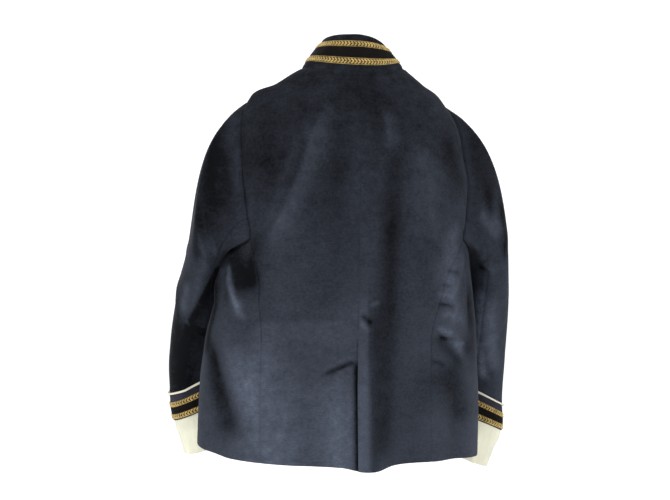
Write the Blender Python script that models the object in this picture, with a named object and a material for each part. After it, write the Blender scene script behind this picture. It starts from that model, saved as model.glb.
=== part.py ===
"""Velvet blazer with a trimmed stand collar, filled out as it sits on a wearer.

Every cut piece is a thin wall of cloth.  The torso is one smooth surface, read by two
numbers: q runs round it (0 centre back, +1 left side, -1 right side, +2 and -2 centre
front) and t runs up it (0 hem, 1 neckline).  The panels are patches of that surface
between their seams.  Each sleeve runs from the armhole through its own rings, read by
theta (0 outside, 90 back, 180 against the body, 270 front) and s (-1 armhole, 0 upper
arm, 1 edge of the velvet cuff).  Metres, +Z up, front towards -Y, left side towards +X.
The origin is the middle of the neck, at the height of the shoulder points.
"""

import math

import bpy
import numpy as np

# ------------------------------------------------------------------ driving sizes
BACK_LENGTH = 0.655           # centre back, collar seam to hem
QUARTER_GIRTH = 0.27          # length of one unit of q round the chest
WALL = 0.002                  # velvet with its lining
TRIM_WALL = 0.0012            # ribbon and braid
FACING_WALL = 0.0012          # inner collar
CREAM_WALL = 0.0012           # inner cuff
HALF_GAP = 0.00017            # each edge stands back this far from its seam
SEAT_GAP = 0.0003             # between a trim and the cloth under it

# armhole, in the torso's own q and t
SHOULDER_TIP = 0.880
ARMHOLE_FOOT = 0.554
JOIN_ANGLE = 140.0            # where the side seams meet the armhole, from its top
ANGLE_STEP = 20.0
FINE_STEP = 10.0              # closer columns where the wide side panel meets the sleeve
SLEEVE_SEAM = 120.0           # hind and fore sleeve seams, from the outside
CAP_FULLNESS = {1.0: 1.0, -1.0: 1.08}       # how far each sleeve head stands out
CAP_FALL = 0.62               # and how late it turns down
CAP_LEAVE = np.array([0.75, 0.15, 0.75])   # how far it keeps on along the shoulder

# vent and front closing
VENT_TOP = 0.272
VENT_LAP = 0.13               # in q: 35 mm of cloth under the overlap
FRONT_LAP = 0.085             # in q: each front passes the centre by 22 mm
LAP_DEPTH = 0.0046            # an under layer lies this far in

# collar trim, as shares of the collar's height
LOWER_BRAID = (0.27, 0.41)
RIBBON = (0.41, 0.70)
UPPER_BRAID = (0.70, 0.82)

# cuff, as shares of s
PIPING_AT = 0.835
CUFF_BRAID_UPPER = (0.890, 0.918)
CUFF_RIBBON = (0.918, 0.962)
CUFF_BRAID_LOWER = (0.962, 0.990)
PIPING_RADIUS = 0.0017
CREAM_TOP = 0.93
CREAM_END = 1.24

BUTTON_RADIUS = 0.010
BUTTON_HEIGHT = 0.0034
BUTTON_LEVELS = (0.36, 0.50, 0.64, 0.78, 0.92)


def table(names, *rows):
    """Named columns from rows of numbers."""
    keys = names.split()
    return {key: np.array([row[i] for row in rows], float) for i, key in enumerate(keys)}


# The torso's rings.  z and y at the centre back, sides and centre front; half is the
# half width on each side; square is the superellipse power; shift and twist (degrees)
# set the lower body off the neck, as the blazer hangs.
TORSO = table(
    "t z_back z_front z_left z_right half_left half_right y_side y_back y_front "
    "square shift twist",
    (0.000, -0.678, -0.690, -0.678, -0.678, 0.255, 0.252, -0.005, 0.118, -0.120, 2.4, 0.015, 7.0),
    (0.150, -0.580, -0.588, -0.580, -0.580, 0.252, 0.252, -0.004, 0.118, -0.118, 2.4, 0.014, 6.0),
    (0.272, -0.500, -0.505, -0.500, -0.500, 0.247, 0.248, -0.003, 0.118, -0.115, 2.4, 0.012, 5.0),
    (0.424, -0.400, -0.403, -0.400, -0.400, 0.230, 0.234, -0.002, 0.120, -0.112, 2.4, 0.008, 3.0),
    (0.525, -0.334, -0.337, -0.334, -0.334, 0.215, 0.220, -0.001, 0.121, -0.112, 2.4, 0.004, 1.0),
    (0.600, -0.285, -0.292, -0.286, -0.286, 0.208, 0.214, 0.000, 0.121, -0.112, 2.4, 0.002, 0.0),
    (0.700, -0.220, -0.232, -0.222, -0.222, 0.208, 0.214, 0.000, 0.118, -0.110, 2.4, 0.000, 0.0),
    (0.800, -0.154, -0.178, -0.146, -0.146, 0.205, 0.204, -0.002, 0.112, -0.103, 2.4, 0.000, 0.0),
    (0.880, -0.102, -0.140, -0.054, -0.054, 0.186, 0.170, -0.005, 0.102, -0.095, 2.3, 0.000, 0.0),
    (0.940, -0.061, -0.108, -0.026, -0.021, 0.138, 0.132, -0.003, 0.088, -0.086, 2.2, 0.000, 0.0),
    (1.000, -0.020, -0.075, 0.002, 0.008, 0.087, 0.095, 0.000, 0.072, -0.075, 2.1, 0.000, 0.0),
)

# The hem's own line: how far it lies above its level at each q.
HEM = table(
    "q rise",
    (-2.0, 0.000),
    (-1.2, -0.010),
    (-0.8, -0.010),
    (-0.3, 0.001),
    (-0.02, -0.007),
    (0.10, 0.003),
    (0.30, 0.011),
    (0.60, 0.022),
    (0.80, 0.030),
    (1.10, 0.031),
    (2.0, 0.000),
)
HEM_REACH = 0.40              # the hem's line dies away at this t

# Seams of the torso.  centre is the centre-back seam; the others are offsets from the
# point where each seam meets the armhole.
SEAMS = table(
    "t centre back_left back_right front_left front_right",
    (0.000, 0.030, -0.195, -0.330, 0.10, 0.10),
    (0.272, 0.030, -0.185, -0.320, 0.08, 0.08),
    (0.430, 0.030, -0.135, -0.250, 0.05, 0.05),
    (0.592, 0.030, 0.000, 0.000, 0.00, 0.00),
)

# Width of the armhole in q, to the back and the front of the side line.
ARMHOLE = table(
    "angle back front",
    (0.0, 0.00, 0.00),
    (20.0, 0.10, 0.12),
    (45.0, 0.20, 0.24),
    (90.0, 0.28, 0.34),
    (120.0, 0.33, 0.40),
    (140.0, 0.36, 0.42),
    (160.0, 0.25, 0.28),
    (180.0, 0.00, 0.00),
)

# Top ring of the collar.
COLLAR_TOP = {
    "half_left": 0.043, "half_right": 0.066, "z_left": 0.060, "z_right": 0.044,
    "z_back": 0.055, "z_front": -0.008, "y_side": -0.018, "y_back": 0.055,
    "y_front": -0.092, "square": 2.0, "bulge": 0.002,
}

# Sleeve rings: centre, half widths sideways and fore and aft, how far the ring's outer
# side is tipped down and how far its back is tipped up (degrees from level).
SLEEVE_LEFT = table(
    "s x y z across deep tilt pitch",
    (0.00, 0.2570, -0.030, -0.335, 0.0310, 0.070, 0.0, -12.0),
    (0.25, 0.2660, -0.066, -0.405, 0.0360, 0.060, 4.0, -20.0),
    (0.50, 0.2670, -0.104, -0.475, 0.0440, 0.055, 12.0, -14.0),
    (0.80, 0.2650, -0.138, -0.550, 0.0495, 0.051, 25.0, 2.0),
    (1.00, 0.2580, -0.158, -0.615, 0.0480, 0.049, 22.0, 2.0),
    (1.12, 0.2530, -0.168, -0.652, 0.0420, 0.045, 20.0, -2.0),
    (1.24, 0.2480, -0.176, -0.688, 0.0370, 0.042, 16.0, -4.0),
)
SLEEVE_RIGHT = table(
    "s x y z across deep tilt pitch",
    (0.00, 0.2620, -0.024, -0.340, 0.0360, 0.072, 0.0, -12.0),
    (0.25, 0.2700, -0.052, -0.415, 0.0420, 0.064, 2.0, -18.0),
    (0.50, 0.2740, -0.082, -0.500, 0.0460, 0.057, 10.0, -12.0),
    (0.80, 0.2820, -0.112, -0.585, 0.0495, 0.051, 28.0, 2.0),
    (1.00, 0.2900, -0.138, -0.653, 0.0500, 0.049, 23.0, 2.0),
    (1.12, 0.2860, -0.150, -0.695, 0.0430, 0.045, 20.0, -2.0),
    (1.24, 0.2810, -0.158, -0.732, 0.0370, 0.042, 18.0, -4.0),
)

# Folds of the torso: a line from (q0, t0) to (q1, t1), bowed sideways, that stands
# depth proud (or sinks, when negative), with its width on each side, all in metres.
TORSO_FOLDS = table(
    "q0 t0 q1 t1 bow depth width_left width_right fade0 fade1",
    (0.08, 0.86, 0.46, 0.60, 0.006, 0.006, 0.030, 0.018, 0.35, 0.35),
    (-0.05, -0.05, -0.03, 0.72, 0.000, 0.006, 0.012, 0.016, 0.01, 0.55),
    (-0.16, -0.05, -0.11, 0.66, 0.000, -0.018, 0.022, 0.026, 0.01, 0.70),
)


# ------------------------------------------------------------------ curves
def curve(xs, ys, at):
    """Smooth curve through the points (xs, ys) with no overshoot between them."""
    step = np.diff(xs)
    rise = np.diff(ys) / step
    slope = np.concatenate(([rise[0]], np.zeros(len(rise) - 1), [rise[-1]]))
    turning = rise[:-1] * rise[1:]
    total = rise[:-1] + rise[1:]
    steady = turning > 0.0
    slope[1:-1][steady] = 2.0 * turning[steady] / total[steady]
    at = np.clip(at, xs[0], xs[-1])
    k = np.clip(np.searchsorted(xs, at, side="right") - 1, 0, len(step) - 1)
    u = (at - xs[k]) / step[k]
    start = ys[k] + step[k] * slope[k] * u
    end = ys[k + 1] - step[k] * slope[k + 1] * (1.0 - u)
    blend = u * u * (3.0 - 2.0 * u)
    return start + (end - start) * blend


def ease(x):
    """Smooth step from 0 to 1."""
    x = np.clip(x, 0.0, 1.0)
    return x * x * (3.0 - 2.0 * x)


def mix(a, b, share):
    return a + (b - a) * share


def unit(v):
    return v / np.maximum(np.linalg.norm(v, axis=-1, keepdims=True), 1e-12)


def oval(angle, square):
    """Point of a unit superellipse at a polar angle in radians."""
    c = np.cos(angle)
    s = np.sin(angle)
    r = (np.abs(c) ** square + np.abs(s) ** square) ** (-1.0 / square)
    return r * c, r * s


def fold_lift(folds, x, y, x_unit, y_unit, first, second):
    """How far the folds push out each point (x, y) of a surface."""
    lift = np.zeros(np.broadcast(x, y).shape)
    for i in range(len(folds["depth"])):
        ax = folds[first + "0"][i] * x_unit
        ay = folds[second + "0"][i] * y_unit
        bx = folds[first + "1"][i] * x_unit
        by = folds[second + "1"][i] * y_unit
        dx, dy = bx - ax, by - ay
        length = math.hypot(dx, dy)
        along = ((x * x_unit - ax) * dx + (y * y_unit - ay) * dy) / length ** 2
        across = ((x * x_unit - ax) * dy - (y * y_unit - ay) * dx) / length
        across = across - folds["bow"][i] * 4.0 * along * (1.0 - along)
        width = np.where(across > 0.0, folds["width_left"][i], folds["width_right"][i])
        fade = ease(along / folds["fade0"][i]) * ease((1.0 - along) / folds["fade1"][i])
        lift = lift + folds["depth"][i] * fade * np.exp(-(across / width) ** 2)
    return lift


# ------------------------------------------------------------------ torso surface
def wrap(q):
    return (q + 2.0) % 4.0 - 2.0


def torso_base(q, t):
    """Torso without folds."""
    q, t = np.broadcast_arrays(wrap(np.asarray(q, float)), np.asarray(t, float))
    row = {key: curve(TORSO["t"], TORSO[key], t) for key in TORSO if key != "t"}
    reach = np.abs(q)
    side = np.where(q < 0.0, -1.0, 1.0)
    behind = reach <= 1.0
    out, back = oval((1.0 - reach) * math.pi / 2.0, row["square"])
    depth = np.where(behind, row["y_back"] - row["y_side"], row["y_side"] - row["y_front"])
    z_mid = np.where(behind, row["z_back"], row["z_front"])
    z_side = np.where(q < 0.0, row["z_right"], row["z_left"])
    half = np.where(q < 0.0, row["half_right"], row["half_left"])
    x = side * half * out
    y = row["y_side"] + depth * back
    z = z_mid + (z_side - z_mid) * np.abs(out) ** 2.4
    z = z + curve(HEM["q"], HEM["rise"], q) * ease(1.0 - t / HEM_REACH)
    turn = np.radians(row["twist"])
    turned_x = x * np.cos(turn) - y * np.sin(turn) + row["shift"]
    turned_y = x * np.sin(turn) + y * np.cos(turn)
    return np.stack([turned_x, turned_y, z], axis=-1)


def slope_normal(surface, a, b, step_a, step_b):
    """Normal of a surface from small steps in its two numbers."""
    along_a = surface(a + step_a, b) - surface(a - step_a, b)
    along_b = surface(a, b + step_b) - surface(a, b - step_b)
    return unit(np.cross(along_b, along_a))


def torso_point(q, t, lift=None):
    """Point of the outer face of the torso, with its folds."""
    q = np.asarray(q, float)
    t = np.asarray(t, float)
    base = torso_base(q, t)
    normal = slope_normal(torso_base, q, t, 0.01, 0.008)
    out = fold_lift(TORSO_FOLDS, q, t, QUARTER_GIRTH, BACK_LENGTH, "q", "t")
    if lift is not None:
        out = out + lift(q, t)
    return base + normal * out[..., None]


def torso_normal(q, t, lift=None):
    return slope_normal(lambda a, b: torso_point(a, b, lift), q, t, 0.008, 0.006)


def armhole(angle, side):
    """q and t of the armhole at an angle from its top, back way round, in degrees."""
    angle = np.asarray(angle, float) % 360.0
    behind = angle <= 180.0
    folded = np.where(behind, angle, 360.0 - angle)
    back = curve(ARMHOLE["angle"], ARMHOLE["back"], folded)
    front = curve(ARMHOLE["angle"], ARMHOLE["front"], folded)
    q = side * np.where(behind, 1.0 - back, 1.0 + front)
    middle = (SHOULDER_TIP + ARMHOLE_FOOT) / 2.0
    t = middle + (SHOULDER_TIP - ARMHOLE_FOOT) / 2.0 * np.cos(np.radians(folded))
    return q, t


def seam(name, t):
    """q of a seam of the torso at height t."""
    offset = curve(SEAMS["t"], SEAMS[name], t)
    if name == "centre":
        return offset
    side = 1.0 if name.endswith("left") else -1.0
    angle = JOIN_ANGLE if name.startswith("back") else 360.0 - JOIN_ANGLE
    return armhole(angle, side)[0] + side * offset


# ------------------------------------------------------------------ sleeve surface
def sleeve_ring(angle, s, side):
    """Point of the sleeve's tube, from the upper arm down."""
    rings = SLEEVE_LEFT if side > 0 else SLEEVE_RIGHT
    row = {key: curve(rings["s"], rings[key], s) for key in rings if key != "s"}
    tilt = np.radians(row["tilt"])
    pitch = np.radians(row["pitch"])
    flat = np.zeros_like(tilt)
    sideways = np.stack([side * np.cos(tilt), flat, -np.sin(tilt)], axis=-1)
    rearward = np.stack([flat, np.cos(pitch), np.sin(pitch)], axis=-1)
    out, back = oval(np.radians(angle), 2.1)
    centre = np.stack([side * row["x"], row["y"], row["z"]], axis=-1)
    return (centre + sideways * (row["across"] * out)[..., None]
            + rearward * (row["deep"] * back)[..., None])


def armhole_frame(angle, side):
    """Armhole point, torso normal there, and the way across the hole."""
    q, t = armhole(angle, side)
    q1, t1 = armhole(np.asarray(angle) + 1.0, side)
    q0, t0 = armhole(np.asarray(angle) - 1.0, side)
    point = torso_point(q, t)
    normal = torso_normal(q, t)
    edge = unit(torso_point(q1, t1) - torso_point(q0, t0))
    across = unit(np.cross(normal, edge)) * -side
    return point, normal, across


def sleeve_point(angle, s, side):
    """Outer face of a sleeve: cap from the armhole, then the tube."""
    angle, s = np.broadcast_arrays(np.asarray(angle, float), np.asarray(s, float))
    start, _, across = armhole_frame(angle, side)
    end = sleeve_ring(angle, np.zeros_like(s), side)
    further = sleeve_ring(angle, np.full_like(s, 0.08), side)
    span = np.linalg.norm(end - start, axis=-1, keepdims=True)
    low = ((1.0 - np.cos(np.radians(angle))) / 2.0)[..., None]
    leave = unit(np.array([0.95 * side, 0.0, -0.10])
                 + across * CAP_LEAVE * (1.0 - low) + np.array([0.0, 0.0, -0.15]) * low)
    arrive = unit(further - end)
    u = np.clip(s + 1.0, 0.0, 1.0)[..., None]
    full = span * leave * CAP_FULLNESS[side]
    fall = span * arrive * CAP_FALL
    cap = ((2 * u ** 3 - 3 * u ** 2 + 1) * start + (u ** 3 - 2 * u ** 2 + u) * full
           + (3 * u ** 2 - 2 * u ** 3) * end + (u ** 3 - u ** 2) * fall)
    tube = sleeve_ring(angle, np.maximum(s, 0.0), side)
    return np.where((s < 0.0)[..., None], cap, tube)


def sleeve_normal(angle, s, side):
    raw = slope_normal(lambda a, b: sleeve_point(a, b, side), angle, s, 2.0, 0.008)
    return raw * side


# ------------------------------------------------------------------ collar surface
def front_under(q, t):
    """The left front passes under the right one."""
    return -LAP_DEPTH * ease((np.abs(q) - (2.0 - FRONT_LAP - 0.07)) / 0.06)


def neck_lift(q, t):
    """The collar's foot follows the left front where that passes under."""
    return np.where(q > 0.0, front_under(q, t), 0.0)


def collar_point(q, h):
    """Point of the collar's outer face: h is 0 at the neck seam and 1 at the top."""
    q, h = np.broadcast_arrays(np.asarray(q, float), np.asarray(h, float))
    ring = COLLAR_TOP
    reach = np.abs(q)
    left = q >= 0.0
    side = np.where(left, 1.0, -1.0)
    behind = reach <= 1.0
    out, back = oval((1.0 - reach) * math.pi / 2.0, ring["square"])
    depth = np.where(behind, ring["y_back"] - ring["y_side"],
                     ring["y_side"] - ring["y_front"])
    z_mid = np.where(behind, ring["z_back"], ring["z_front"])
    z_side = np.where(left, ring["z_left"], ring["z_right"])
    top = np.stack([side * np.where(left, ring["half_left"], ring["half_right"]) * out,
                    ring["y_side"] + depth * back,
                    z_mid + (z_side - z_mid) * np.abs(out) ** 2.0], axis=-1)
    foot = torso_point(q, np.ones_like(h), neck_lift)
    outward = unit(np.stack([side * out, back, np.zeros_like(out)], axis=-1))
    swell = ring["bulge"] * 4.0 * h * (1.0 - h)
    return mix(foot, top, h[..., None]) + outward * swell[..., None]


def collar_normal(q, h):
    return slope_normal(collar_point, q, h, 0.01, 0.02)


# ------------------------------------------------------------------ walls
def mitre(first, second):
    """Way through the wall where two pieces meet at an angle, for a wall 1 thick."""
    middle = unit(first + second)
    return middle / np.clip(np.sum(middle * first, axis=-1, keepdims=True), 0.45, 1.0)


def pull_in(points, normals, distance, sides):
    """Moves the named borders of a grid back from their seams."""
    moved = points.copy()
    borders = {
        "low": (np.s_[0, :], np.s_[1, :]), "high": (np.s_[-1, :], np.s_[-2, :]),
        "start": (np.s_[:, 0], np.s_[:, 1]), "end": (np.s_[:, -1], np.s_[:, -2]),
    }
    for name in sides:
        border, inner = borders[name]
        line = points[border]
        tangent = unit(np.gradient(line, axis=0))
        inward = np.cross(normals[border], tangent)
        toward = np.sum(inward * (points[inner] - line), axis=-1, keepdims=True)
        moved[border] += unit(inward * np.sign(toward)) * distance
    return moved


def wall_mesh(name, outer, inner, closed=False):
    """Closed wall between two grids of points; closed joins the last column to the first."""
    rows, cols = outer.shape[:2]
    points = np.concatenate([outer.reshape(-1, 3), inner.reshape(-1, 3)])
    offset = rows * cols
    faces = []
    spans = cols if closed else cols - 1
    for i in range(rows - 1):
        for j in range(spans):
            k = (j + 1) % cols
            a, b, c, d = i * cols + j, i * cols + k, (i + 1) * cols + k, (i + 1) * cols + j
            faces.append((a, b, c, d))
            faces.append((a + offset, d + offset, c + offset, b + offset))
    for j in range(spans):
        k = (j + 1) % cols
        top = (rows - 1) * cols
        faces.append((j, j + offset, k + offset, k))
        faces.append((top + j, top + k, top + k + offset, top + j + offset))
    if not closed:
        for i in range(rows - 1):
            low, high = i * cols, (i + 1) * cols
            faces.append((low, high, high + offset, low + offset))
            low, high = low + cols - 1, high + cols - 1
            faces.append((low, low + offset, high + offset, high))
    return closed_mesh(name, points, faces)


def closed_mesh(name, points, faces):
    """Mesh of a closed skin, with its faces turned to look out."""
    if signed_volume(points, faces) < 0.0:
        faces = [face[::-1] for face in faces]
    mesh = bpy.data.meshes.new(name)
    mesh.from_pydata([tuple(p) for p in points], [], faces)
    mesh.update()
    return mesh


def signed_volume(points, faces):
    total = 0.0
    for face in faces:
        a = points[face[0]]
        for i in range(1, len(face) - 1):
            total += np.dot(a, np.cross(points[face[i]], points[face[i + 1]]))
    return total / 6.0


def add_object(name, mesh, material):
    mesh.materials.append(material)
    mesh.shade_smooth()
    mesh.set_sharp_from_angle(angle=math.radians(40.0))
    part = bpy.data.objects.new(name, mesh)
    bpy.context.scene.collection.objects.link(part)
    return part


def material(name, colour, roughness, metallic=0.0):
    made = bpy.data.materials.new(name)
    made.use_nodes = True
    shader = made.node_tree.nodes["Principled BSDF"]
    shader.inputs["Base Color"].default_value = (*colour, 1.0)
    shader.inputs["Roughness"].default_value = roughness
    shader.inputs["Metallic"].default_value = metallic
    return made


# ------------------------------------------------------------------ torso panels
LOW_ROWS = 11
PANEL_COLUMNS = 8
LOW = np.linspace(0.0, float(armhole(JOIN_ANGLE, 1.0)[1]), LOW_ROWS + 1)
ARM_ANGLES = np.arange(JOIN_ANGLE - ANGLE_STEP, -1.0, -ANGLE_STEP)
TOP = np.linspace(SHOULDER_TIP, 1.0, 4)[1:]


def panel_rows():
    """Heights t of the rows that the back and front panels share."""
    arm = armhole(ARM_ANGLES, 1.0)[1]
    return np.concatenate([LOW, arm, TOP])


def outer_edge(side, where):
    """q of a panel's outer edge on each shared row: side seam, armhole, shoulder."""
    name = where + ("_left" if side > 0 else "_right")
    angles = ARM_ANGLES if where == "back" else 360.0 - ARM_ANGLES
    return np.concatenate([seam(name, LOW), armhole(angles, side)[0],
                           np.full(len(TOP), float(side))])


def neck_mitre(q):
    ones = np.ones_like(q)
    return mitre(torso_normal(q, ones, neck_lift), collar_normal(q, np.zeros_like(q)))


def armhole_mitre(angles, side):
    _, normal, _ = armhole_frame(angles, side)
    return mitre(normal, sleeve_normal(angles, np.full(len(angles), -1.0), side))


def torso_panel(name, q, t, lift, borders, armhole_border, made_of):
    """One panel as a wall: q and t are grids; borders stand back from their seams."""
    points = torso_point(q, t, lift)
    normals = torso_normal(q, t, lift)
    through = normals.copy()
    if t[-1, 0] > 0.999:
        through[-1] = neck_mitre(q[-1])
    if armhole_border is not None:
        border, angles, side = armhole_border
        through[border] = armhole_mitre(angles, side)
    points = pull_in(points, normals, HALF_GAP, borders)
    inner = points - through * WALL
    return add_object(name, wall_mesh(name, points, inner), made_of)


def vent_under(q, t):
    """The left back passes under the right one at the vent."""
    near = ease((seam("centre", t) + 0.19 - q) / 0.09)
    return -LAP_DEPTH * near * ease((VENT_TOP + 0.06 - t) / 0.05)


def back_panel(side, made_of):
    t = panel_rows()
    start = seam("centre", np.minimum(t, LOW[-1]))
    if side > 0:
        start = start - VENT_LAP * ease((VENT_TOP - t) / 0.055)
    end = outer_edge(side, "back")
    u = np.linspace(0.0, 1.0, PANEL_COLUMNS + 1)[None, :]
    q = mix(start[:, None], end[:, None], u)
    rows = np.broadcast_to(t[:, None], q.shape)
    arm = len(LOW) - 1 + np.arange(len(ARM_ANGLES) + 1)
    angles = np.concatenate([[JOIN_ANGLE], ARM_ANGLES])
    name = "back_left" if side > 0 else "back_right"
    lift = vent_under if side > 0 else None
    return torso_panel(name, q, rows, lift, ("high", "start", "end"),
                       (np.s_[arm, -1], angles, side), made_of)


def front_panel(side, made_of):
    t = panel_rows()
    start = outer_edge(side, "front")
    end = side * np.full(len(t), 2.0 + FRONT_LAP)
    u = np.linspace(0.0, 1.0, PANEL_COLUMNS + 1)[None, :]
    q = mix(start[:, None], end[:, None], u)
    rows = np.broadcast_to(t[:, None], q.shape)
    arm = len(LOW) - 1 + np.arange(len(ARM_ANGLES) + 1)
    angles = 360.0 - np.concatenate([[JOIN_ANGLE], ARM_ANGLES])
    name = "front_left" if side > 0 else "front_right"
    lift = front_under if side > 0 else None
    return torso_panel(name, q, rows, lift, ("high", "start", "end"),
                       (np.s_[arm, 0], angles, side), made_of)


def side_panel(side, made_of):
    angles = np.arange(JOIN_ANGLE, 361.0 - JOIN_ANGLE, FINE_STEP)
    top_q, top_t = armhole(angles, side)
    tail = "_left" if side > 0 else "_right"
    share = (top_q - top_q[0]) / (top_q[-1] - top_q[0])
    level = LOW / LOW[-1]
    q = mix(seam("back" + tail, LOW)[:, None], seam("front" + tail, LOW)[:, None],
            share[None, :])
    t = level[:, None] * top_t[None, :]
    return torso_panel("side" + tail, q, t, None, ("high", "start", "end"),
                       (np.s_[-1, :], angles, side), made_of)


# ------------------------------------------------------------------ sleeves and cuffs
CAP_ROWS = np.linspace(-1.0, 0.0, 6)
TUBE_ROWS = np.linspace(0.0, PIPING_AT, 8)[1:]


def side_name(base, side):
    return base + ("_left" if side > 0 else "_right")


def sleeve_piece(name, angles, side, made_of):
    s = np.concatenate([CAP_ROWS, TUBE_ROWS])[:, None]
    a = angles[None, :]
    points = sleeve_point(a, s, side)
    normals = sleeve_normal(np.broadcast_to(a, points.shape[:2]),
                            np.broadcast_to(s, points.shape[:2]), side)
    through = normals.copy()
    through[0] = armhole_mitre(angles, side)
    points = pull_in(points, normals, HALF_GAP, ("low", "high", "start", "end"))
    mesh = wall_mesh(name, points, points - through * WALL)
    return add_object(name, mesh, made_of)


OVER = np.arange(-SLEEVE_SEAM, SLEEVE_SEAM + 1.0, ANGLE_STEP)
UNDER = np.concatenate([[SLEEVE_SEAM], np.arange(JOIN_ANGLE, 361.0 - JOIN_ANGLE, FINE_STEP),
                        [360.0 - SLEEVE_SEAM]])
ROUND = np.concatenate([OVER, UNDER[1:-1]])


def cuff_sleeve(name, rows, side, low, high, made_of):
    """Tube on the sleeve's own form, from low to high off its outer face."""
    s = np.broadcast_to(np.asarray(rows)[:, None], (len(rows), len(ROUND)))
    a = np.broadcast_to(ROUND[None, :], s.shape)
    points = sleeve_point(a, s, side)
    normals = sleeve_normal(a, s, side)
    mesh = wall_mesh(name, points + normals * high, points + normals * low, closed=True)
    return add_object(name, mesh, made_of)


def cuff(side, made_of):
    start = PIPING_AT + 2.0 * HALF_GAP / 0.33
    rows = (start, *CUFF_BRAID_UPPER, CUFF_RIBBON[1], CUFF_BRAID_LOWER[1], 1.0)
    return cuff_sleeve(side_name("cuff", side), rows, side, -WALL, 0.0, made_of)


def cuff_trim(base, band, side, thickness, made_of):
    margin = 0.5 * HALF_GAP / 0.33
    rows = (band[0] + margin, band[1] - margin)
    return cuff_sleeve(side_name(base, side), rows, side, SEAT_GAP,
                       SEAT_GAP + thickness, made_of)


def cream_cuff(side, made_of):
    """Inner cuff: seated inside the velvet one, then free below it."""
    rows = np.array([CREAM_TOP, 0.965, 1.0, 1.04, 1.09, 1.15, CREAM_END])
    s = np.broadcast_to(rows[:, None], (len(rows), len(ROUND)))
    a = np.broadcast_to(ROUND[None, :], s.shape)
    points = sleeve_point(a, s, side) - sleeve_normal(a, s, side) * (WALL + SEAT_GAP)
    normals = sleeve_normal(a, s, side)
    name = side_name("cuff_lining", side)
    mesh = wall_mesh(name, points, points - normals * CREAM_WALL, closed=True)
    return add_object(name, mesh, made_of)


def piping(side, made_of):
    """Round cord lying on the seam between sleeve and cuff."""
    s = np.full(len(ROUND), PIPING_AT)
    centre = sleeve_point(ROUND, s, side)
    normal = sleeve_normal(ROUND, s, side)
    centre = centre + normal * (PIPING_RADIUS + SEAT_GAP)
    ahead = unit(sleeve_point(ROUND, s + 0.01, side) - sleeve_point(ROUND, s - 0.01, side))
    spokes = 6
    rows = []
    for k in range(spokes):
        turn = 2.0 * math.pi * k / spokes
        rows.append(centre + (normal * math.cos(turn) + ahead * math.sin(turn)) * PIPING_RADIUS)
    points = np.array(rows)
    faces = []
    cols = len(ROUND)
    for i in range(spokes):
        for j in range(cols):
            k, n = (j + 1) % cols, (i + 1) % spokes
            faces.append((i * cols + j, i * cols + k, n * cols + k, n * cols + j))
    flat = points.reshape(-1, 3)
    name = side_name("cuff_piping", side)
    return add_object(name, closed_mesh(name, flat, faces), made_of)


# ------------------------------------------------------------------ collar
COLLAR_ROWS = (0.0, *LOWER_BRAID, RIBBON[1], UPPER_BRAID[1], 1.0)
COLLAR_OPENING = 0.045        # in q: how much wider the front opening is at the top


def collar_grid(rows):
    """Columns stand over the panels' own; the front opening widens to the top."""
    centre = float(seam("centre", LOW[-1]))
    front = mix(1.0, 2.0 + FRONT_LAP, np.arange(1, PANEL_COLUMNS) / PANEL_COLUMNS)
    share = np.arange(PANEL_COLUMNS + 1) / PANEL_COLUMNS
    foot = np.concatenate([-front[::-1], mix(-1.0, centre, share),
                           mix(centre, 1.0, share)[1:], front])
    h = np.asarray(rows)[:, None]
    ahead = np.maximum(np.abs(foot) - 1.0, 0.0)
    q = foot[None, :] - np.sign(foot) * COLLAR_OPENING * h * ahead[None, :]
    return q, np.broadcast_to(h, q.shape)


def collar_layer(name, rows, low, high, made_of, foot_mitre=False):
    q, h = collar_grid(rows)
    points = collar_point(q, h)
    normals = collar_normal(q, h)
    outer = points + normals * high
    inner = points + normals * low
    if foot_mitre:
        outer = pull_in(outer, normals, HALF_GAP, ("low",))
        inner[0] = outer[0] - neck_mitre(q[0]) * (high - low)
    return add_object(name, wall_mesh(name, outer, inner), made_of)


def collar_trim(name, band, thickness, made_of):
    margin = 0.5 * HALF_GAP / 0.07
    return collar_layer(name, (band[0] + margin, band[1] - margin), SEAT_GAP,
                        SEAT_GAP + thickness, made_of)


def collar_facing(made_of):
    """Inner collar, from the lower braid's level to the collar's top edge."""
    rows = COLLAR_ROWS[1:]
    inside = -WALL - SEAT_GAP
    return collar_layer("collar_facing", rows, inside - FACING_WALL, inside, made_of)


# ------------------------------------------------------------------ buttons
def button(index, level, made_of):
    """Flat round button with a raised rim, standing on the overlapping front."""
    q = np.array([-2.0])
    t = np.array([level])
    normal = torso_normal(q, t)[0]
    foot = torso_point(q, t)[0] + normal * (SEAT_GAP + 0.0002)
    sideways = unit(np.cross(np.array([0.0, 0.0, 1.0]), normal))
    upward = np.cross(normal, sideways)
    profile = ((0.55, 0.0), (0.80, 0.18), (1.00, 0.45), (0.97, 0.85), (0.86, 1.00),
               (0.74, 0.80))
    spokes = 16
    points = []
    for radius, height in profile:
        for k in range(spokes):
            turn = 2.0 * math.pi * k / spokes
            points.append(foot + (sideways * math.cos(turn) + upward * math.sin(turn))
                          * radius * BUTTON_RADIUS + normal * height * BUTTON_HEIGHT)
    faces = [tuple(range(spokes))[::-1]]
    rings = len(profile)
    for i in range(rings - 1):
        for j in range(spokes):
            k = (j + 1) % spokes
            faces.append((i * spokes + j, i * spokes + k, (i + 1) * spokes + k,
                          (i + 1) * spokes + j))
    faces.append(tuple(range((rings - 1) * spokes, rings * spokes)))
    name = "button_%d" % (index + 1)
    return add_object(name, closed_mesh(name, np.array(points), faces), made_of)


def clear_scene():
    for old in list(bpy.data.objects):
        bpy.data.objects.remove(old, do_unlink=True)


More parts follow.
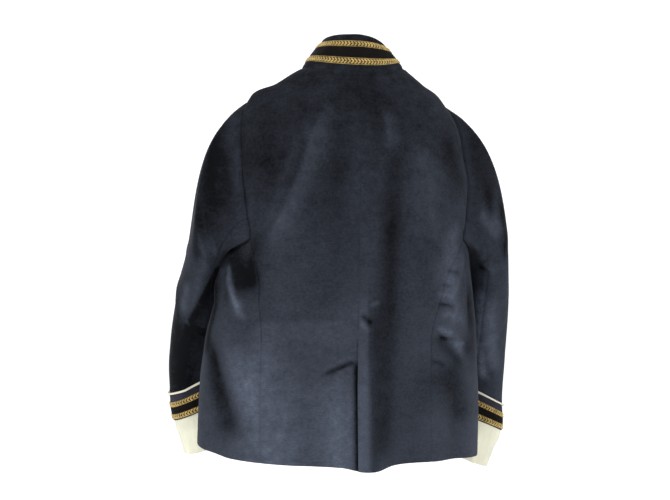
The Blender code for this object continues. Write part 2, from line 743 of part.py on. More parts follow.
def build():
    clear_scene()
    velvet = material("velvet", (0.030, 0.042, 0.066), 0.85)
    ribbon = material("ribbon", (0.012, 0.011, 0.012), 0.55)
    braid = material("braid", (0.45, 0.31, 0.12), 0.45, 0.6)
    cream = material("cream", (0.82, 0.79, 0.66), 0.50)
    horn = material("button", (0.020, 0.022, 0.030), 0.35)
    for side in (1.0, -1.0):
        back_panel(side, velvet)
        side_panel(side, velvet)
        front_panel(side, velvet)
        sleeve_piece(side_name("sleeve_upper", side), OVER, side, velvet)
        sleeve_piece(side_name("sleeve_under", side), UNDER, side, velvet)
        cuff(side, velvet)
        piping(side, cream)
        cuff_trim("cuff_braid_upper", CUFF_BRAID_UPPER, side, TRIM_WALL, braid)
        cuff_trim("cuff_ribbon", CUFF_RIBBON, side, 0.8 * TRIM_WALL, ribbon)
        cuff_trim("cuff_braid_lower", CUFF_BRAID_LOWER, side, TRIM_WALL, braid)
        cream_cuff(side, cream)
    collar_layer("collar", COLLAR_ROWS, -WALL, 0.0, velvet, foot_mitre=True)
    collar_trim("collar_braid_lower", LOWER_BRAID, TRIM_WALL, braid)
    collar_trim("collar_ribbon", RIBBON, 0.8 * TRIM_WALL, ribbon)
    collar_trim("collar_braid_upper", UPPER_BRAID, TRIM_WALL, braid)
    collar_facing(cream)
    for index, level in enumerate(BUTTON_LEVELS):
        button(index, level, horn)


build()
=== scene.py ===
"""Velvet blazer with a trimmed stand collar, dressed on its solids.

The cloth is made of thin walls on the same form as the solids, with finer rows, sewn
edges and folds.  q runs round the torso (0 centre back, +1 left side, +2 and -2 centre
front) and t up it.  On a sleeve the angle runs round it and s down it.  Metres, +Z up.
"""

import math

import bpy
import numpy as np
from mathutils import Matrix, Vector


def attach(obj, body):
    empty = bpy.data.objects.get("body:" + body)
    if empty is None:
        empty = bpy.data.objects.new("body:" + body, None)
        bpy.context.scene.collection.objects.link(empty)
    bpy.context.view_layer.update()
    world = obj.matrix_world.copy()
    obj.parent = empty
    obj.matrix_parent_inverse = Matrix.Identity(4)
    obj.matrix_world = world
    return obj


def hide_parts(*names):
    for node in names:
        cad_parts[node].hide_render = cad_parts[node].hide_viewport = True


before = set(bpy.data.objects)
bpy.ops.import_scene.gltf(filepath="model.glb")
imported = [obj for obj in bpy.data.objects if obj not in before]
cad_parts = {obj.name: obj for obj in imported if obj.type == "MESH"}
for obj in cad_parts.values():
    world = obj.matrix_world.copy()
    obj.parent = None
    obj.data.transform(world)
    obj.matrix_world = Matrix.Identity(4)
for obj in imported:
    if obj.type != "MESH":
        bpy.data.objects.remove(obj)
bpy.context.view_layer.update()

# ------------------------------------------------------------------ driving sizes
BACK_LENGTH = 0.655           # centre back, collar seam to hem
QUARTER_GIRTH = 0.27          # length of one unit of q round the chest
SLEEVE_DEGREE = 0.0011        # length of one degree round a sleeve
SLEEVE_UNIT = 0.30            # length of one unit of s down it
WALL = 0.002                  # velvet with its inner layers
FACING_WALL = 0.0012          # inner collar
CREAM_WALL = 0.0012           # inner cuff
SEAT_GAP = 0.0003             # between a trim and the cloth under it

# armhole, in the torso's own q and t
SHOULDER_TIP = 0.880
ARMHOLE_FOOT = 0.554
JOIN_ANGLE = 140.0            # where the side seams meet the armhole, from its top
SLEEVE_SEAM = 120.0           # hind and fore sleeve seams, from the outside
CAP_FULLNESS = {1.0: 1.0, -1.0: 1.08}       # how far each sleeve head stands out
CAP_FALL = 0.62               # and how late it turns down
CAP_LEAVE = np.array([0.75, 0.15, 0.75])   # how far it keeps on along the shoulder

# vent and front closing
VENT_TOP = 0.272
VENT_LAP = 0.13               # in q: 35 mm of cloth under the overlap
FRONT_LAP = 0.085             # in q: each front passes the centre by 22 mm
LAP_DEPTH = 0.0046            # an under layer lies this far in

# collar trim, as shares of the collar's height
LOWER_BRAID = (0.27, 0.41)
RIBBON = (0.41, 0.70)
UPPER_BRAID = (0.70, 0.82)

# cuff, as shares of s
PIPING_AT = 0.835
CUFF_BRAID_UPPER = (0.890, 0.918)
CUFF_RIBBON = (0.918, 0.962)
CUFF_BRAID_LOWER = (0.962, 0.990)
PIPING_RADIUS = 0.0017
CREAM_TOP = 0.93
CREAM_END = 1.24


def table(names, *rows):
    """Named columns from rows of numbers; a name may end in a slash and its divisor."""
    columns = {}
    for name, column in zip(names.split(), np.array(rows, float).T):
        key, _, divisor = name.partition("/")
        columns[key] = column / float(divisor or 1.0)
    return columns


def fold_lines(across, depth, *rows):
    """Table of lines from (x0, y0) to (x1, y1) on a surface, x along its first number.

    Each is bowed sideways and stands depth proud (or sinks, when negative), with its
    width on each side.  y and the fades come in hundredths, bow and widths in mm;
    across and depth are the divisors of x and of the depth.
    """
    return table("x0/%d y0/100 x1/%d y1/100 bow/1000 depth/%d width_left/1000 "
                 "width_right/1000 fade0/100 fade1/100" % (across, across, depth), *rows)


# The torso's rings.  z and y at the centre back, sides and centre front; half is the
# half width on each side; square is the superellipse power; shift and twist (degrees)
# set the lower body off the neck, as the blazer hangs.
TORSO = table(
    "t/1000 z_back/1000 z_front/1000 z_left/1000 z_right/1000 half_left/1000 half_right/1000 "
    "y_side/1000 y_back/1000 y_front/1000 square shift/1000 twist",
    (0, -678, -690, -678, -678, 255, 252, -5, 118, -120, 2.4, 15, 7),
    (150, -580, -588, -580, -580, 252, 252, -4, 118, -118, 2.4, 14, 6),
    (272, -500, -505, -500, -500, 247, 248, -3, 118, -115, 2.4, 12, 5),
    (424, -400, -403, -400, -400, 230, 234, -2, 120, -112, 2.4, 8, 3),
    (525, -334, -337, -334, -334, 215, 220, -1, 121, -112, 2.4, 4, 1),
    (600, -285, -292, -286, -286, 208, 214, 0, 121, -112, 2.4, 2, 0),
    (700, -220, -232, -222, -222, 208, 214, 0, 118, -110, 2.4, 0, 0),
    (800, -154, -178, -146, -146, 205, 204, -2, 112, -103, 2.4, 0, 0),
    (880, -102, -140, -54, -54, 186, 170, -5, 102, -95, 2.3, 0, 0),
    (940, -61, -108, -26, -21, 138, 132, -3, 88, -86, 2.2, 0, 0),
    (1000, -20, -75, 2, 8, 87, 95, 0, 72, -75, 2.1, 0, 0),
)

# The hem's own line: how far it lies above its level at each q.
HEM = table(
    "q/100 rise/1000",
    (-200, 0),
    (-120, -10),
    (-80, -10),
    (-30, 1),
    (-2, -7),
    (10, 3),
    (30, 11),
    (60, 22),
    (80, 30),
    (110, 31),
    (200, 0),
)
HEM_REACH = 0.40              # the hem's line dies away at this t

# Seams of the torso.  centre is the centre-back seam; the others are offsets from the
# point where each seam meets the armhole.
SEAMS = table(
    "t/1000 centre/1000 back_left/1000 back_right/1000 front_left/1000 front_right/1000",
    (0, 30, -195, -330, 100, 100),
    (272, 30, -185, -320, 80, 80),
    (430, 30, -135, -250, 50, 50),
    (592, 30, 0, 0, 0, 0),
)

# Width of the armhole in q, to the back and the front of the side line.
ARMHOLE = table(
    "angle back/100 front/100",
    (0, 0, 0),
    (20, 10, 12),
    (45, 20, 24),
    (90, 28, 34),
    (120, 33, 40),
    (140, 36, 42),
    (160, 25, 28),
    (180, 0, 0),
)

# Top ring of the collar.
COLLAR_TOP = {
    "half_left": 0.043, "half_right": 0.066, "z_left": 0.060, "z_right": 0.044,
    "z_back": 0.055, "z_front": -0.008, "y_side": -0.018, "y_back": 0.055,
    "y_front": -0.092, "square": 2.0, "bulge": 0.002,
}

# Sleeve rings: centre, half widths sideways and fore and aft, how far the ring's outer
# side is tipped down and how far its back is tipped up (degrees from level).
SLEEVE_COLUMNS = "s/100 x/1000 y/1000 z/1000 across/1000 deep/1000 tilt pitch"
SLEEVE_LEFT = table(
    SLEEVE_COLUMNS,
    (0, 257, -30, -335, 31, 70, 0, -12),
    (25, 266, -66, -405, 36, 60, 4, -20),
    (50, 267, -104, -475, 44, 55, 12, -14),
    (80, 265, -138, -550, 49.5, 51, 25, 2),
    (100, 258, -158, -615, 48, 49, 22, 2),
    (112, 253, -168, -652, 42, 45, 20, -2),
    (124, 248, -176, -688, 37, 42, 16, -4),
)
SLEEVE_RIGHT = table(
    SLEEVE_COLUMNS,
    (0, 262, -24, -340, 36, 72, 0, -12),
    (25, 270, -52, -415, 42, 64, 2, -18),
    (50, 274, -82, -500, 46, 57, 10, -12),
    (80, 282, -112, -585, 49.5, 51, 28, 2),
    (100, 290, -138, -653, 50, 49, 23, 2),
    (112, 286, -150, -695, 43, 45, 20, -2),
    (124, 281, -158, -732, 37, 42, 18, -4),
)

# Folds of the torso: q0, t0, q1, t1 in hundredths, then bow, depth and widths in mm.
TORSO_FOLDS = fold_lines(
    100, 1000,
    # the large ones of the solids
    (8, 86, 46, 60, 6, 6, 30, 18, 35, 35),
    (-5, -5, -3, 72, 0, 6, 12, 16, 1, 55),
    (-16, -5, -11, 66, 0, -18, 22, 26, 1, 70),
    # long drag from the neck to the left armhole, with its hollow
    (22, 93, 52, 56, -10, 3, 14, 8, 30, 30),
    (40, 86, 62, 66, 0, -4, 28, 22, 45, 40),
    # faint fold right of the centre seam, and the hollow beside it
    (-17, 92, -3, 70, 6, 2.2, 12, 12, 35, 35),
    (-30, 84, -36, 52, 0, 3.5, 22, 18, 45, 40),
    # drags from the right armhole
    (-50, 76, -66, 58, 4, 2.6, 8, 12, 30, 40),
    (-60, 56, -38, 40, 4, 5, 10, 16, 25, 30),
    (-38, 45, -54, 23, -6, 4.5, 8, 14, 30, 35),
    (-33, 32, -54, 23.5, 0, -3, 6, 7, 30, 35),
    (-30, 50, -42, 34, 4, -2.6, 12, 10, 40, 40),
    (-66, 50, -58, 30, 4, -4, 12, 12, 40, 40),
    # crumples below them
    (-36, 38.5, -50, 37.5, 2, 1.6, 4, 5, 35, 35),
    (-34, 35, -46, 33.5, -2, 1.4, 4, 5, 35, 35),
    (-42, 30, -56, 30.5, 2, 1.2, 4, 5, 35, 35),
    # left underarm: one sharp fold and its hollow
    (83, 50, 55, 37, 3, 6, 7, 11, 25, 25),
    (71, 54, 47, 42, 3, -5.6, 14, 12, 35, 35),
    # the left shoulder's end lies flat into the sleeve
    (102, 82, 100, 99, 0, -8, 38, 38, 30, 45),
    # slack of the left side panel below the armhole
    (96, 60, 100, 40, 0, 10.5, 34, 34, 30, 35),
    # left side panel: slack fold falling to the hem
    (90, 34, 54, 3, 10, -5, 14, 18, 30, 15),
    (74, 36, 46, 5, 10, 3, 16, 16, 30, 30),
    # soft falls of the back towards the hem
    (27, 24, 23, -5, 0, -3, 20, 20, 50, 1),
    (14, 20, 12, -5, 0, 2.6, 18, 18, 50, 1),
    (-34, 22, -33, -5, 0, 4.5, 20, 20, 50, 1),
    (-48, 20, -47, -5, 0, -4, 18, 18, 50, 1),
    (-80, 26, -78, -5, 0, 4, 20, 20, 50, 1),
    # top of the vent
    (3.5, 27.6, 19, 23, 1, -3, 3, 6, 8, 45),
    (4.5, 29.6, 19, 24.8, 1, 2.2, 8, 4, 12, 45),
    # small creases beside the centre seam
    (-2, 41, -7.5, 42, 1.5, 1.6, 3, 3, 30, 30),
    (2, 39.2, -2, 36, 1, -1.4, 3, 3, 25, 30),
    (2.4, 37.6, -1.2, 35, 1, 1.2, 3, 3, 25, 30),
    # front: drags from the armholes and shoulders, falls to the hem
    (136, 70, 174, 54, 6, 6, 16, 12, 25, 50),
    (130, 60, 166, 38, 8, -5.6, 14, 16, 25, 50),
    (134, 52, 160, 24, 6, 4.4, 12, 14, 30, 45),
    (145, 93, 166, 64, 6, 4.6, 16, 12, 35, 45),
    (-138, 72, -176, 50, -6, 6, 14, 14, 25, 50),
    (-132, 58, -164, 30, -8, -5.6, 16, 14, 25, 50),
    (-130, 50, -154, 20, -6, 4, 12, 12, 30, 45),
    (-140, 92, -168, 66, -6, 4.2, 14, 12, 35, 45),
    (130, 32, 136, -5, 0, 7, 22, 18, 60, 1),
    (160, 34, 164, -5, 0, -5.6, 20, 22, 60, 1),
    (-126, 36, -132, -5, 0, 6.6, 18, 22, 60, 1),
    (-156, 30, -162, -5, 0, -5.6, 22, 18, 60, 1),
    (110, 52, 130, 36, 4, 3.6, 12, 14, 30, 45),
    (-104, 52, -126, 34, 4, 3.6, 12, 14, 30, 45),
)

# Folds of the sleeves: the angle runs round in degrees and s down in hundredths.
SLEEVE_FOLDS_LEFT = fold_lines(
    1, 1000,
    (168, 0, 86, 40, 10, 5, 10, 22, 20, 20),
    (92, 32, 48, 100, 6, 4.4, 12, 24, 20, 20),
    (40, -36, 84, -22, 3, 2.4, 6, 6, 35, 40),
    (46, -26, 96, -13, 4, 2.8, 6, 7, 35, 40),
    (58, -15, 110, -3, 4, 2.6, 6, 7, 35, 40),
    (86, -42, 122, -24, 3, 2.6, 6, 7, 35, 40),
    (30, -86, 66, -50, 6, -3, 14, 12, 35, 40),
    (-20, 10, 30, 34, 4, 2.6, 10, 10, 35, 40),
    (-70, -30, -30, 6, 6, 4, 10, 14, 35, 40),
    (-90, -10, -40, 26, 6, 4, 10, 14, 35, 40),
    (-100, 14, -50, 44, 6, 3.4, 10, 14, 35, 40),
    (250, 30, 200, 62, 6, 3.6, 10, 14, 35, 40),
)
SLEEVE_FOLDS_RIGHT = fold_lines(
    1, 1000,
    (112, -84, 40, -16, 10, 4.2, 10, 16, 20, 30),
    (140, -40, 96, 10, 8, 5, 8, 14, 25, 30),
    (60, -86, 96, -50, 6, -3.4, 14, 12, 35, 40),
    (120, 5, 74, 70, 10, 4, 12, 22, 30, 30),
    (50, 10, 90, 24, 3, 2, 7, 7, 35, 40),
    (46, 24, 84, 36, 3, 2, 7, 7, 35, 40),
    (-70, -30, -30, 6, 6, 4, 10, 14, 35, 40),
    (-90, -8, -40, 30, 6, 4, 10, 14, 35, 40),
    (-96, 16, -46, 50, 6, 3.4, 10, 14, 35, 40),
    (250, 26, 200, 60, 6, 3.6, 10, 14, 35, 40),
)

# Painted light and shade on the velvet, with some of its nap: lines along which it is lighter on
# ridges and rolls or darker in hollows and under the sleeves, by hundredths.
TORSO_NAP_AND_SHADE = fold_lines(
    100, 100,
    # painted highlight along the line from the neck to the left armhole, and painted shade on
    # the cloth above it and across the upper back
    (22, 94, 55, 54, 14, 26, 20, 5, 30, 25),
    (38, 86, 60, 66, 0, 7, 28, 22, 45, 40),
    (30, 95, -30, 95, 0, -6, 24, 20, 30, 30),
    (98, 76, 2, 76, 0, -13, 75, 75, 18, 12),
    (82, 76, 72, 56, 0, -13, 22, 22, 30, 30),
    (16, 72, 12, 36, 0, -9, 34, 32, 30, 30),
    (56, 80, 70, 60, 0, 6, 20, 20, 35, 30),
    # beside the centre seam: painted highlight on the light roll, and painted shade in the dark
    # trough right of it
    (-0.5, 56, -1, -5, 0, 25, 2, 15, 40, 1),
    (-2, 30, -2, -5, 0, 16, 2, 12, 40, 1),
    (12, 26, 10, -5, 0, 38, 20, 26, 35, 1),
    (52, 36.2, 3, 37.2, 0, 14, 4, 34, 20, 20),
    (50, 34, 40, -5, 0, 42, 40, 44, 25, 1),
    (-15, 84, -9.5, 0, 0, -27, 15, 16, 30, 8),
    (-4.6, 46, -3.4, -5, 0, -19, 11, 12, 25, 1),
    (-11, 96, -9, 70, 0, -7, 60, 34, 20, 30),
    (-16, 93, -13, 80, 0, 16, 14, 4, 30, 30),
    (10, 56, 10, 10, 0, 5, 24, 24, 40, 30),
    # painted highlight on the right shoulder blade, and painted shade beside it
    (-28, 86, -38, 64, 0, 12, 18, 16, 35, 35),
    (-50, 86, -58, 66, 0, -16, 20, 20, 30, 30),
    (-26, 60, -30, 44, 0, -7, 14, 14, 35, 35),
    # drags from the right armpit, with crumples: painted highlights on their ridges and painted
    # shade in their hollows
    (-56, 64, -40, 46, 4, 30, 14, 22, 25, 35),
    (-42, 52, -52, 26, 4, 34, 14, 18, 25, 30),
    (-42, 50, -54, 48.6, 2, -34, 3, 5, 30, 30),
    (-38, 46.2, -46, 45.6, 1, -30, 3, 4, 30, 30),
    (-35, 44, -48, 42.5, 2, 30, 3, 5, 30, 30),
    (-36, 41.2, -48, 39.8, 2, -42, 3, 4, 25, 30),
    (-37, 38.5, -50, 37.5, 2, 32, 3, 5, 30, 30),
    (-34, 35.2, -45, 33.5, -2, 28, 3, 5, 30, 30),
    (-35, 33, -47, 31.8, -2, -40, 3, 4, 25, 30),
    (-42, 30, -56, 30.5, 2, 26, 3, 5, 30, 30),
    (-30, 26.8, -40, 24.8, 1, -26, 3, 5, 30, 35),
    (-2, 41, -7.5, 42, 1.5, 30, 3, 4, 25, 30),
    (2, 39.2, -3, 36, 1, -34, 3, 4, 20, 30),
    (3, 37.2, -2, 34.2, 1, 28, 3, 4, 20, 30),
    (-34, 34, -54, 23.5, 0, -22, 5, 14, 20, 35),
    (-34, 36, -54, 25.5, 0, 20, 10, 3, 20, 35),
    (-66, 50, -64, 20, 0, -24, 20, 16, 35, 35),
    (-30, 60, -44, 52, 0, -12, 12, 12, 35, 35),
    # left underarm: painted shade on the panel under the sleeve, with a painted highlight on its
    # one bright fold
    (98, 62, 62, 42, 0, -33, 50, 30, 20, 20),
    (85, 52, 55, 37, 3, 60, 4, 7, 12, 25),
    (60, 62, 60, 40, 0, -14, 20, 8, 25, 30),
    # left side: painted shade in the fold falling to the hem and under the sleeve, with painted
    # highlights beside it
    (88, 34, 58, 3, 8, -33, 22, 28, 25, 20),
    (94, 50, 94, 25, 0, -50, 22, 22, 20, 25),
    (70, 36, 44, 10, 8, 14, 14, 16, 30, 30),
    (46, 40, 42, 24, 0, 10, 18, 18, 35, 35),
    # lower back: painted light and shade on its soft falls and at the top of the vent
    (30, 30, 26, -5, 0, 10, 30, 30, 40, 1),
    (-28, 30, -30, -5, 0, -15, 38, 34, 30, 1),
    (-38, 27, -54, 8, 0, -26, 26, 24, 25, 25),
    (-45, 37, -61, 26, 0, -27, 14, 14, 25, 30),
    (4.2, 27, 20, 22.8, 0, -42, 2.6, 6, 5, 45),
    (5, 28.4, 20, 24.4, 0, 16, 7, 3, 10, 40),
    # left shoulder seam, seen edge on: painted shade along it
    (100, 87, 100, 99, 0, -20, 10, 10, 15, 20),
    (70, 97, 90, 84, 0, -10, 16, 16, 30, 30),
    # fronts: painted light and shade on their drags and falls
    (136, 72, 166, 52, 4, 24, 10, 18, 25, 40),
    (124, 66, 146, 42, 4, -22, 16, 16, 25, 40),
    (-136, 70, -162, 50, -4, 22, 12, 16, 25, 40),
    (-122, 62, -144, 36, -4, -20, 16, 18, 25, 40),
    (146, 34, 144, -5, 0, 12, 20, 20, 40, 1),
    (-142, 30, -144, -5, 0, 12, 20, 20, 40, 1),
)
# Painted shade on the sleeves' inner sides and folds, and painted highlights on their outer
# bands and ridges, by hundredths.
SLEEVE_NAP_AND_SHADE_LEFT = fold_lines(
    1, 100,
    (142, -5, 68, 32, -6, -40, 56, 8, 10, 2),
    (68, 32, 44, 102, -2, -34, 56, 12, 2, 5),
    (50, -46, 52, -4, 0, -22, 22, 22, 30, 30),
    (42, 6, 46, 30, 0, 36, 14, 14, 30, 35),
    (64, -95, 64, -25, 0, -22, 50, 50, 20, 30),
    (40, 22, 44, 102, 0, -28, 60, 36, 20, 2),
    (28, -10, 20, 90, 0, -22, 30, 30, 30, 5),
    (84, -20, 74, 24, 0, 10, 14, 16, 30, 25),
    (46, -30, 90, -16, 4, 16, 4, 6, 25, 30),
)
SLEEVE_NAP_AND_SHADE_RIGHT = fold_lines(
    1, 100,
    (108, -82, 84, -34, 4, 22, 6, 12, 20, 25),
    (134, 9, 100, 76, 0, 80, 16, 13, 12, 12),
    (60, -60, 66, -10, 0, -30, 16, 20, 30, 30),
    (70, -98, 80, -55, 0, -16, 50, 50, 20, 30),
    (108, 10, 76, 66, 4, 36, 14, 22, 25, 25),
    (132, -34, 130, 4, 0, -34, 14, 14, 30, 20),
)


# ------------------------------------------------------------------ curves
def curve(xs, ys, at):
    """Smooth curve through the points (xs, ys) with no overshoot between them."""
    step = np.diff(xs)
    rise = np.diff(ys) / step
    slope = np.concatenate(([rise[0]], np.zeros(len(rise) - 1), [rise[-1]]))
    turning = rise[:-1] * rise[1:]
    total = rise[:-1] + rise[1:]
    steady = turning > 0.0
    slope[1:-1][steady] = 2.0 * turning[steady] / total[steady]
    at = np.clip(at, xs[0], xs[-1])
    k = np.clip(np.searchsorted(xs, at, side="right") - 1, 0, len(step) - 1)
    u = (at - xs[k]) / step[k]
    start = ys[k] + step[k] * slope[k] * u
    end = ys[k + 1] - step[k] * slope[k + 1] * (1.0 - u)
    blend = u * u * (3.0 - 2.0 * u)
    return start + (end - start) * blend


def ease(x):
    """Smooth step from 0 to 1."""
    x = np.clip(x, 0.0, 1.0)
    return x * x * (3.0 - 2.0 * x)


def mix(a, b, share):
    return a + (b - a) * share


def unit(v):
    return v / np.maximum(np.linalg.norm(v, axis=-1, keepdims=True), 1e-12)


def oval(angle, square):
    """Point of a unit superellipse at a polar angle in radians."""
    c = np.cos(angle)
    s = np.sin(angle)
    r = (np.abs(c) ** square + np.abs(s) ** square) ** (-1.0 / square)
    return r * c, r * s


def fold_lift(folds, x, y, x_unit, y_unit):
    """How far the folds push out each point (x, y) of a surface; units in metres."""
    lift = np.zeros(np.broadcast(x, y).shape)
    for i in range(len(folds["depth"])):
        row = {key: column[i] for key, column in folds.items()}
        ax, ay = row["x0"] * x_unit, row["y0"] * y_unit
        dx, dy = row["x1"] * x_unit - ax, row["y1"] * y_unit - ay
        out_x, out_y = x * x_unit - ax, y * y_unit - ay
        length = math.hypot(dx, dy)
        along = (out_x * dx + out_y * dy) / length ** 2
        across = (out_x * dy - out_y * dx) / length - row["bow"] * 4.0 * along * (1.0 - along)
        width = np.where(across > 0.0, row["width_left"], row["width_right"])
        fade = ease(along / row["fade0"]) * ease((1.0 - along) / row["fade1"])
        lift = lift + row["depth"] * fade * np.exp(-(across / width) ** 2)
    return lift


def torso_lift(folds, q, t):
    return fold_lift(folds, q, t, QUARTER_GIRTH, BACK_LENGTH)


def sleeve_lift(folds, angle, s):
    turned = (angle + 90.0) % 360.0 - 90.0
    return fold_lift(folds, turned, s, SLEEVE_DEGREE, SLEEVE_UNIT)


# ------------------------------------------------------------------ torso surface
def wrap(q):
    return (q + 2.0) % 4.0 - 2.0


def ring_point(q, row, dip):
    """Point of a ring of four quarter ovals, and the two parts of its way out."""
    reach = np.abs(q)
    left, behind = q >= 0.0, reach <= 1.0
    side = np.where(left, 1.0, -1.0)
    out, back = oval((1.0 - reach) * math.pi / 2.0, row["square"])
    depth = np.where(behind, row["y_back"] - row["y_side"], row["y_side"] - row["y_front"])
    z_mid = np.where(behind, row["z_back"], row["z_front"])
    z_side = np.where(left, row["z_left"], row["z_right"])
    x = side * np.where(left, row["half_left"], row["half_right"]) * out
    z = z_mid + (z_side - z_mid) * np.abs(out) ** dip
    return (x, row["y_side"] + depth * back, z), side * out, back


def torso_base(q, t):
    """Torso without folds."""
    q, t = np.broadcast_arrays(wrap(np.asarray(q, float)), np.asarray(t, float))
    row = {key: curve(TORSO["t"], TORSO[key], t) for key in TORSO if key != "t"}
    (x, y, z), _, _ = ring_point(q, row, 2.4)
    z = z + curve(HEM["q"], HEM["rise"], q) * ease(1.0 - t / HEM_REACH)
    turn = np.radians(row["twist"])
    turned_x = x * np.cos(turn) - y * np.sin(turn) + row["shift"]
    turned_y = x * np.sin(turn) + y * np.cos(turn)
    return np.stack([turned_x, turned_y, z], axis=-1)


def slope_normal(surface, a, b, step_a, step_b):
    """Normal of a surface from small steps in its two numbers."""
    along_a = surface(a + step_a, b) - surface(a - step_a, b)
    along_b = surface(a, b + step_b) - surface(a, b - step_b)
    return unit(np.cross(along_b, along_a))


def torso_point(q, t, lift=None):
    """Point of the outer face of the torso, with its folds."""
    q = np.asarray(q, float)
    t = np.asarray(t, float)
    base = torso_base(q, t)
    normal = slope_normal(torso_base, q, t, 0.01, 0.008)
    out = torso_lift(TORSO_FOLDS, q, t)
    if lift is not None:
        out = out + lift(q, t)
    return base + normal * out[..., None]


def torso_normal(q, t, lift=None):
    return slope_normal(lambda a, b: torso_point(a, b, lift), q, t, 0.008, 0.006)


def armhole(angle, side):
    """q and t of the armhole at an angle from its top, back way round, in degrees."""
    angle = np.asarray(angle, float) % 360.0
    behind = angle <= 180.0
    folded = np.where(behind, angle, 360.0 - angle)
    back = curve(ARMHOLE["angle"], ARMHOLE["back"], folded)
    front = curve(ARMHOLE["angle"], ARMHOLE["front"], folded)
    q = side * np.where(behind, 1.0 - back, 1.0 + front)
    middle = (SHOULDER_TIP + ARMHOLE_FOOT) / 2.0
    t = middle + (SHOULDER_TIP - ARMHOLE_FOOT) / 2.0 * np.cos(np.radians(folded))
    return q, t


def seam(name, t):
    """q of a seam of the torso at height t."""
    offset = curve(SEAMS["t"], SEAMS[name], t)
    if name == "centre":
        return offset
    side = 1.0 if name.endswith("left") else -1.0
    angle = JOIN_ANGLE if name.startswith("back") else 360.0 - JOIN_ANGLE
    return armhole(angle, side)[0] + side * offset


# ------------------------------------------------------------------ sleeve surface
def sleeve_ring(angle, s, side):
    """Point of the sleeve's tube, from the upper arm down."""
    rings = SLEEVE_LEFT if side > 0 else SLEEVE_RIGHT
    row = {key: curve(rings["s"], rings[key], s) for key in rings if key != "s"}
    tilt = np.radians(row["tilt"])
    pitch = np.radians(row["pitch"])
    flat = np.zeros_like(tilt)
    sideways = np.stack([side * np.cos(tilt), flat, -np.sin(tilt)], axis=-1)
    rearward = np.stack([flat, np.cos(pitch), np.sin(pitch)], axis=-1)
    out, back = oval(np.radians(angle), 2.1)
    centre = np.stack([side * row["x"], row["y"], row["z"]], axis=-1)
    return (centre + sideways * (row["across"] * out)[..., None]
            + rearward * (row["deep"] * back)[..., None])


def armhole_lines(side):
    """Armhole points, torso normals and ways across the hole, degree by degree."""
    angle = np.arange(-1.0, 363.0)
    q, t = armhole(angle, side)
    points = torso_point(q, t)
    normals = torso_normal(q, t)[1:-1]
    across = unit(np.cross(normals, unit(points[2:] - points[:-2]))) * -side
    return np.concatenate([points[1:-1], normals, across], axis=-1)


ARM_LINES = {hand: armhole_lines(hand) for hand in (1.0, -1.0)}


def armhole_frame(angle, side):
    """Armhole point, torso normal there, and the way across the hole."""
    at = np.asarray(angle, float) % 360.0
    low = np.floor(at).astype(int)
    lines = ARM_LINES[side]
    read = mix(lines[low], lines[low + 1], (at - low)[..., None])
    return read[..., :3], read[..., 3:6], unit(read[..., 6:])


def sleeve_base(angle, s, side):
    """Sleeve without folds: cap from the armhole, then the tube."""
    angle, s = np.broadcast_arrays(np.asarray(angle, float), np.asarray(s, float))
    start, _, across = armhole_frame(angle, side)
    end = sleeve_ring(angle, np.zeros_like(s), side)
    further = sleeve_ring(angle, np.full_like(s, 0.08), side)
    span = np.linalg.norm(end - start, axis=-1, keepdims=True)
    low = ((1.0 - np.cos(np.radians(angle))) / 2.0)[..., None]
    leave = unit(np.array([0.95 * side, 0.0, -0.10])
                 + across * CAP_LEAVE * (1.0 - low) + np.array([0.0, 0.0, -0.15]) * low)
    arrive = unit(further - end)
    u = np.clip(s + 1.0, 0.0, 1.0)[..., None]
    full = span * leave * CAP_FULLNESS[side]
    fall = span * arrive * CAP_FALL
    cap = ((2 * u ** 3 - 3 * u ** 2 + 1) * start + (u ** 3 - 2 * u ** 2 + u) * full
           + (3 * u ** 2 - 2 * u ** 3) * end + (u ** 3 - u ** 2) * fall)
    tube = sleeve_ring(angle, np.maximum(s, 0.0), side)
    return np.where((s < 0.0)[..., None], cap, tube)


def sleeve_point(angle, s, side):
    """Outer face of a sleeve, with its folds."""
    angle, s = np.broadcast_arrays(np.asarray(angle, float), np.asarray(s, float))
    base = sleeve_base(angle, s, side)
    normal = side * slope_normal(lambda a, b: sleeve_base(a, b, side), angle, s, 2.0, 0.01)
    out = sleeve_lift(SLEEVE_FOLDS_LEFT if side > 0 else SLEEVE_FOLDS_RIGHT, angle, s)
    out = out * ease((s + 1.0) / 0.12) * ease((1.0 - s) / 0.25)
    return base + normal * out[..., None]


def sleeve_normal(angle, s, side):
    raw = slope_normal(lambda a, b: sleeve_point(a, b, side), angle, s, 2.0, 0.008)
    return raw * side


# ------------------------------------------------------------------ collar surface
def front_under(q, t):
    """The left front passes under the right one."""
    return -LAP_DEPTH * ease((np.abs(q) - (2.0 - FRONT_LAP - 0.07)) / 0.06)


def neck_lift(q, t):
    """The collar's foot follows the left front where that passes under."""
    return np.where(q > 0.0, front_under(q, t), 0.0)


def collar_point(q, h):
    """Point of the collar's outer face: h is 0 at the neck seam and 1 at the top."""
    q, h = np.broadcast_arrays(np.asarray(q, float), np.asarray(h, float))
    top, sideways, back = ring_point(q, COLLAR_TOP, 2.0)
    foot = torso_point(q, np.ones_like(h), neck_lift)
    outward = unit(np.stack([sideways, back, np.zeros_like(back)], axis=-1))
    swell = COLLAR_TOP["bulge"] * 4.0 * h * (1.0 - h)
    return mix(foot, np.stack(top, axis=-1), h[..., None]) + outward * swell[..., None]


def collar_normal(q, h):
    return slope_normal(collar_point, q, h, 0.01, 0.02)


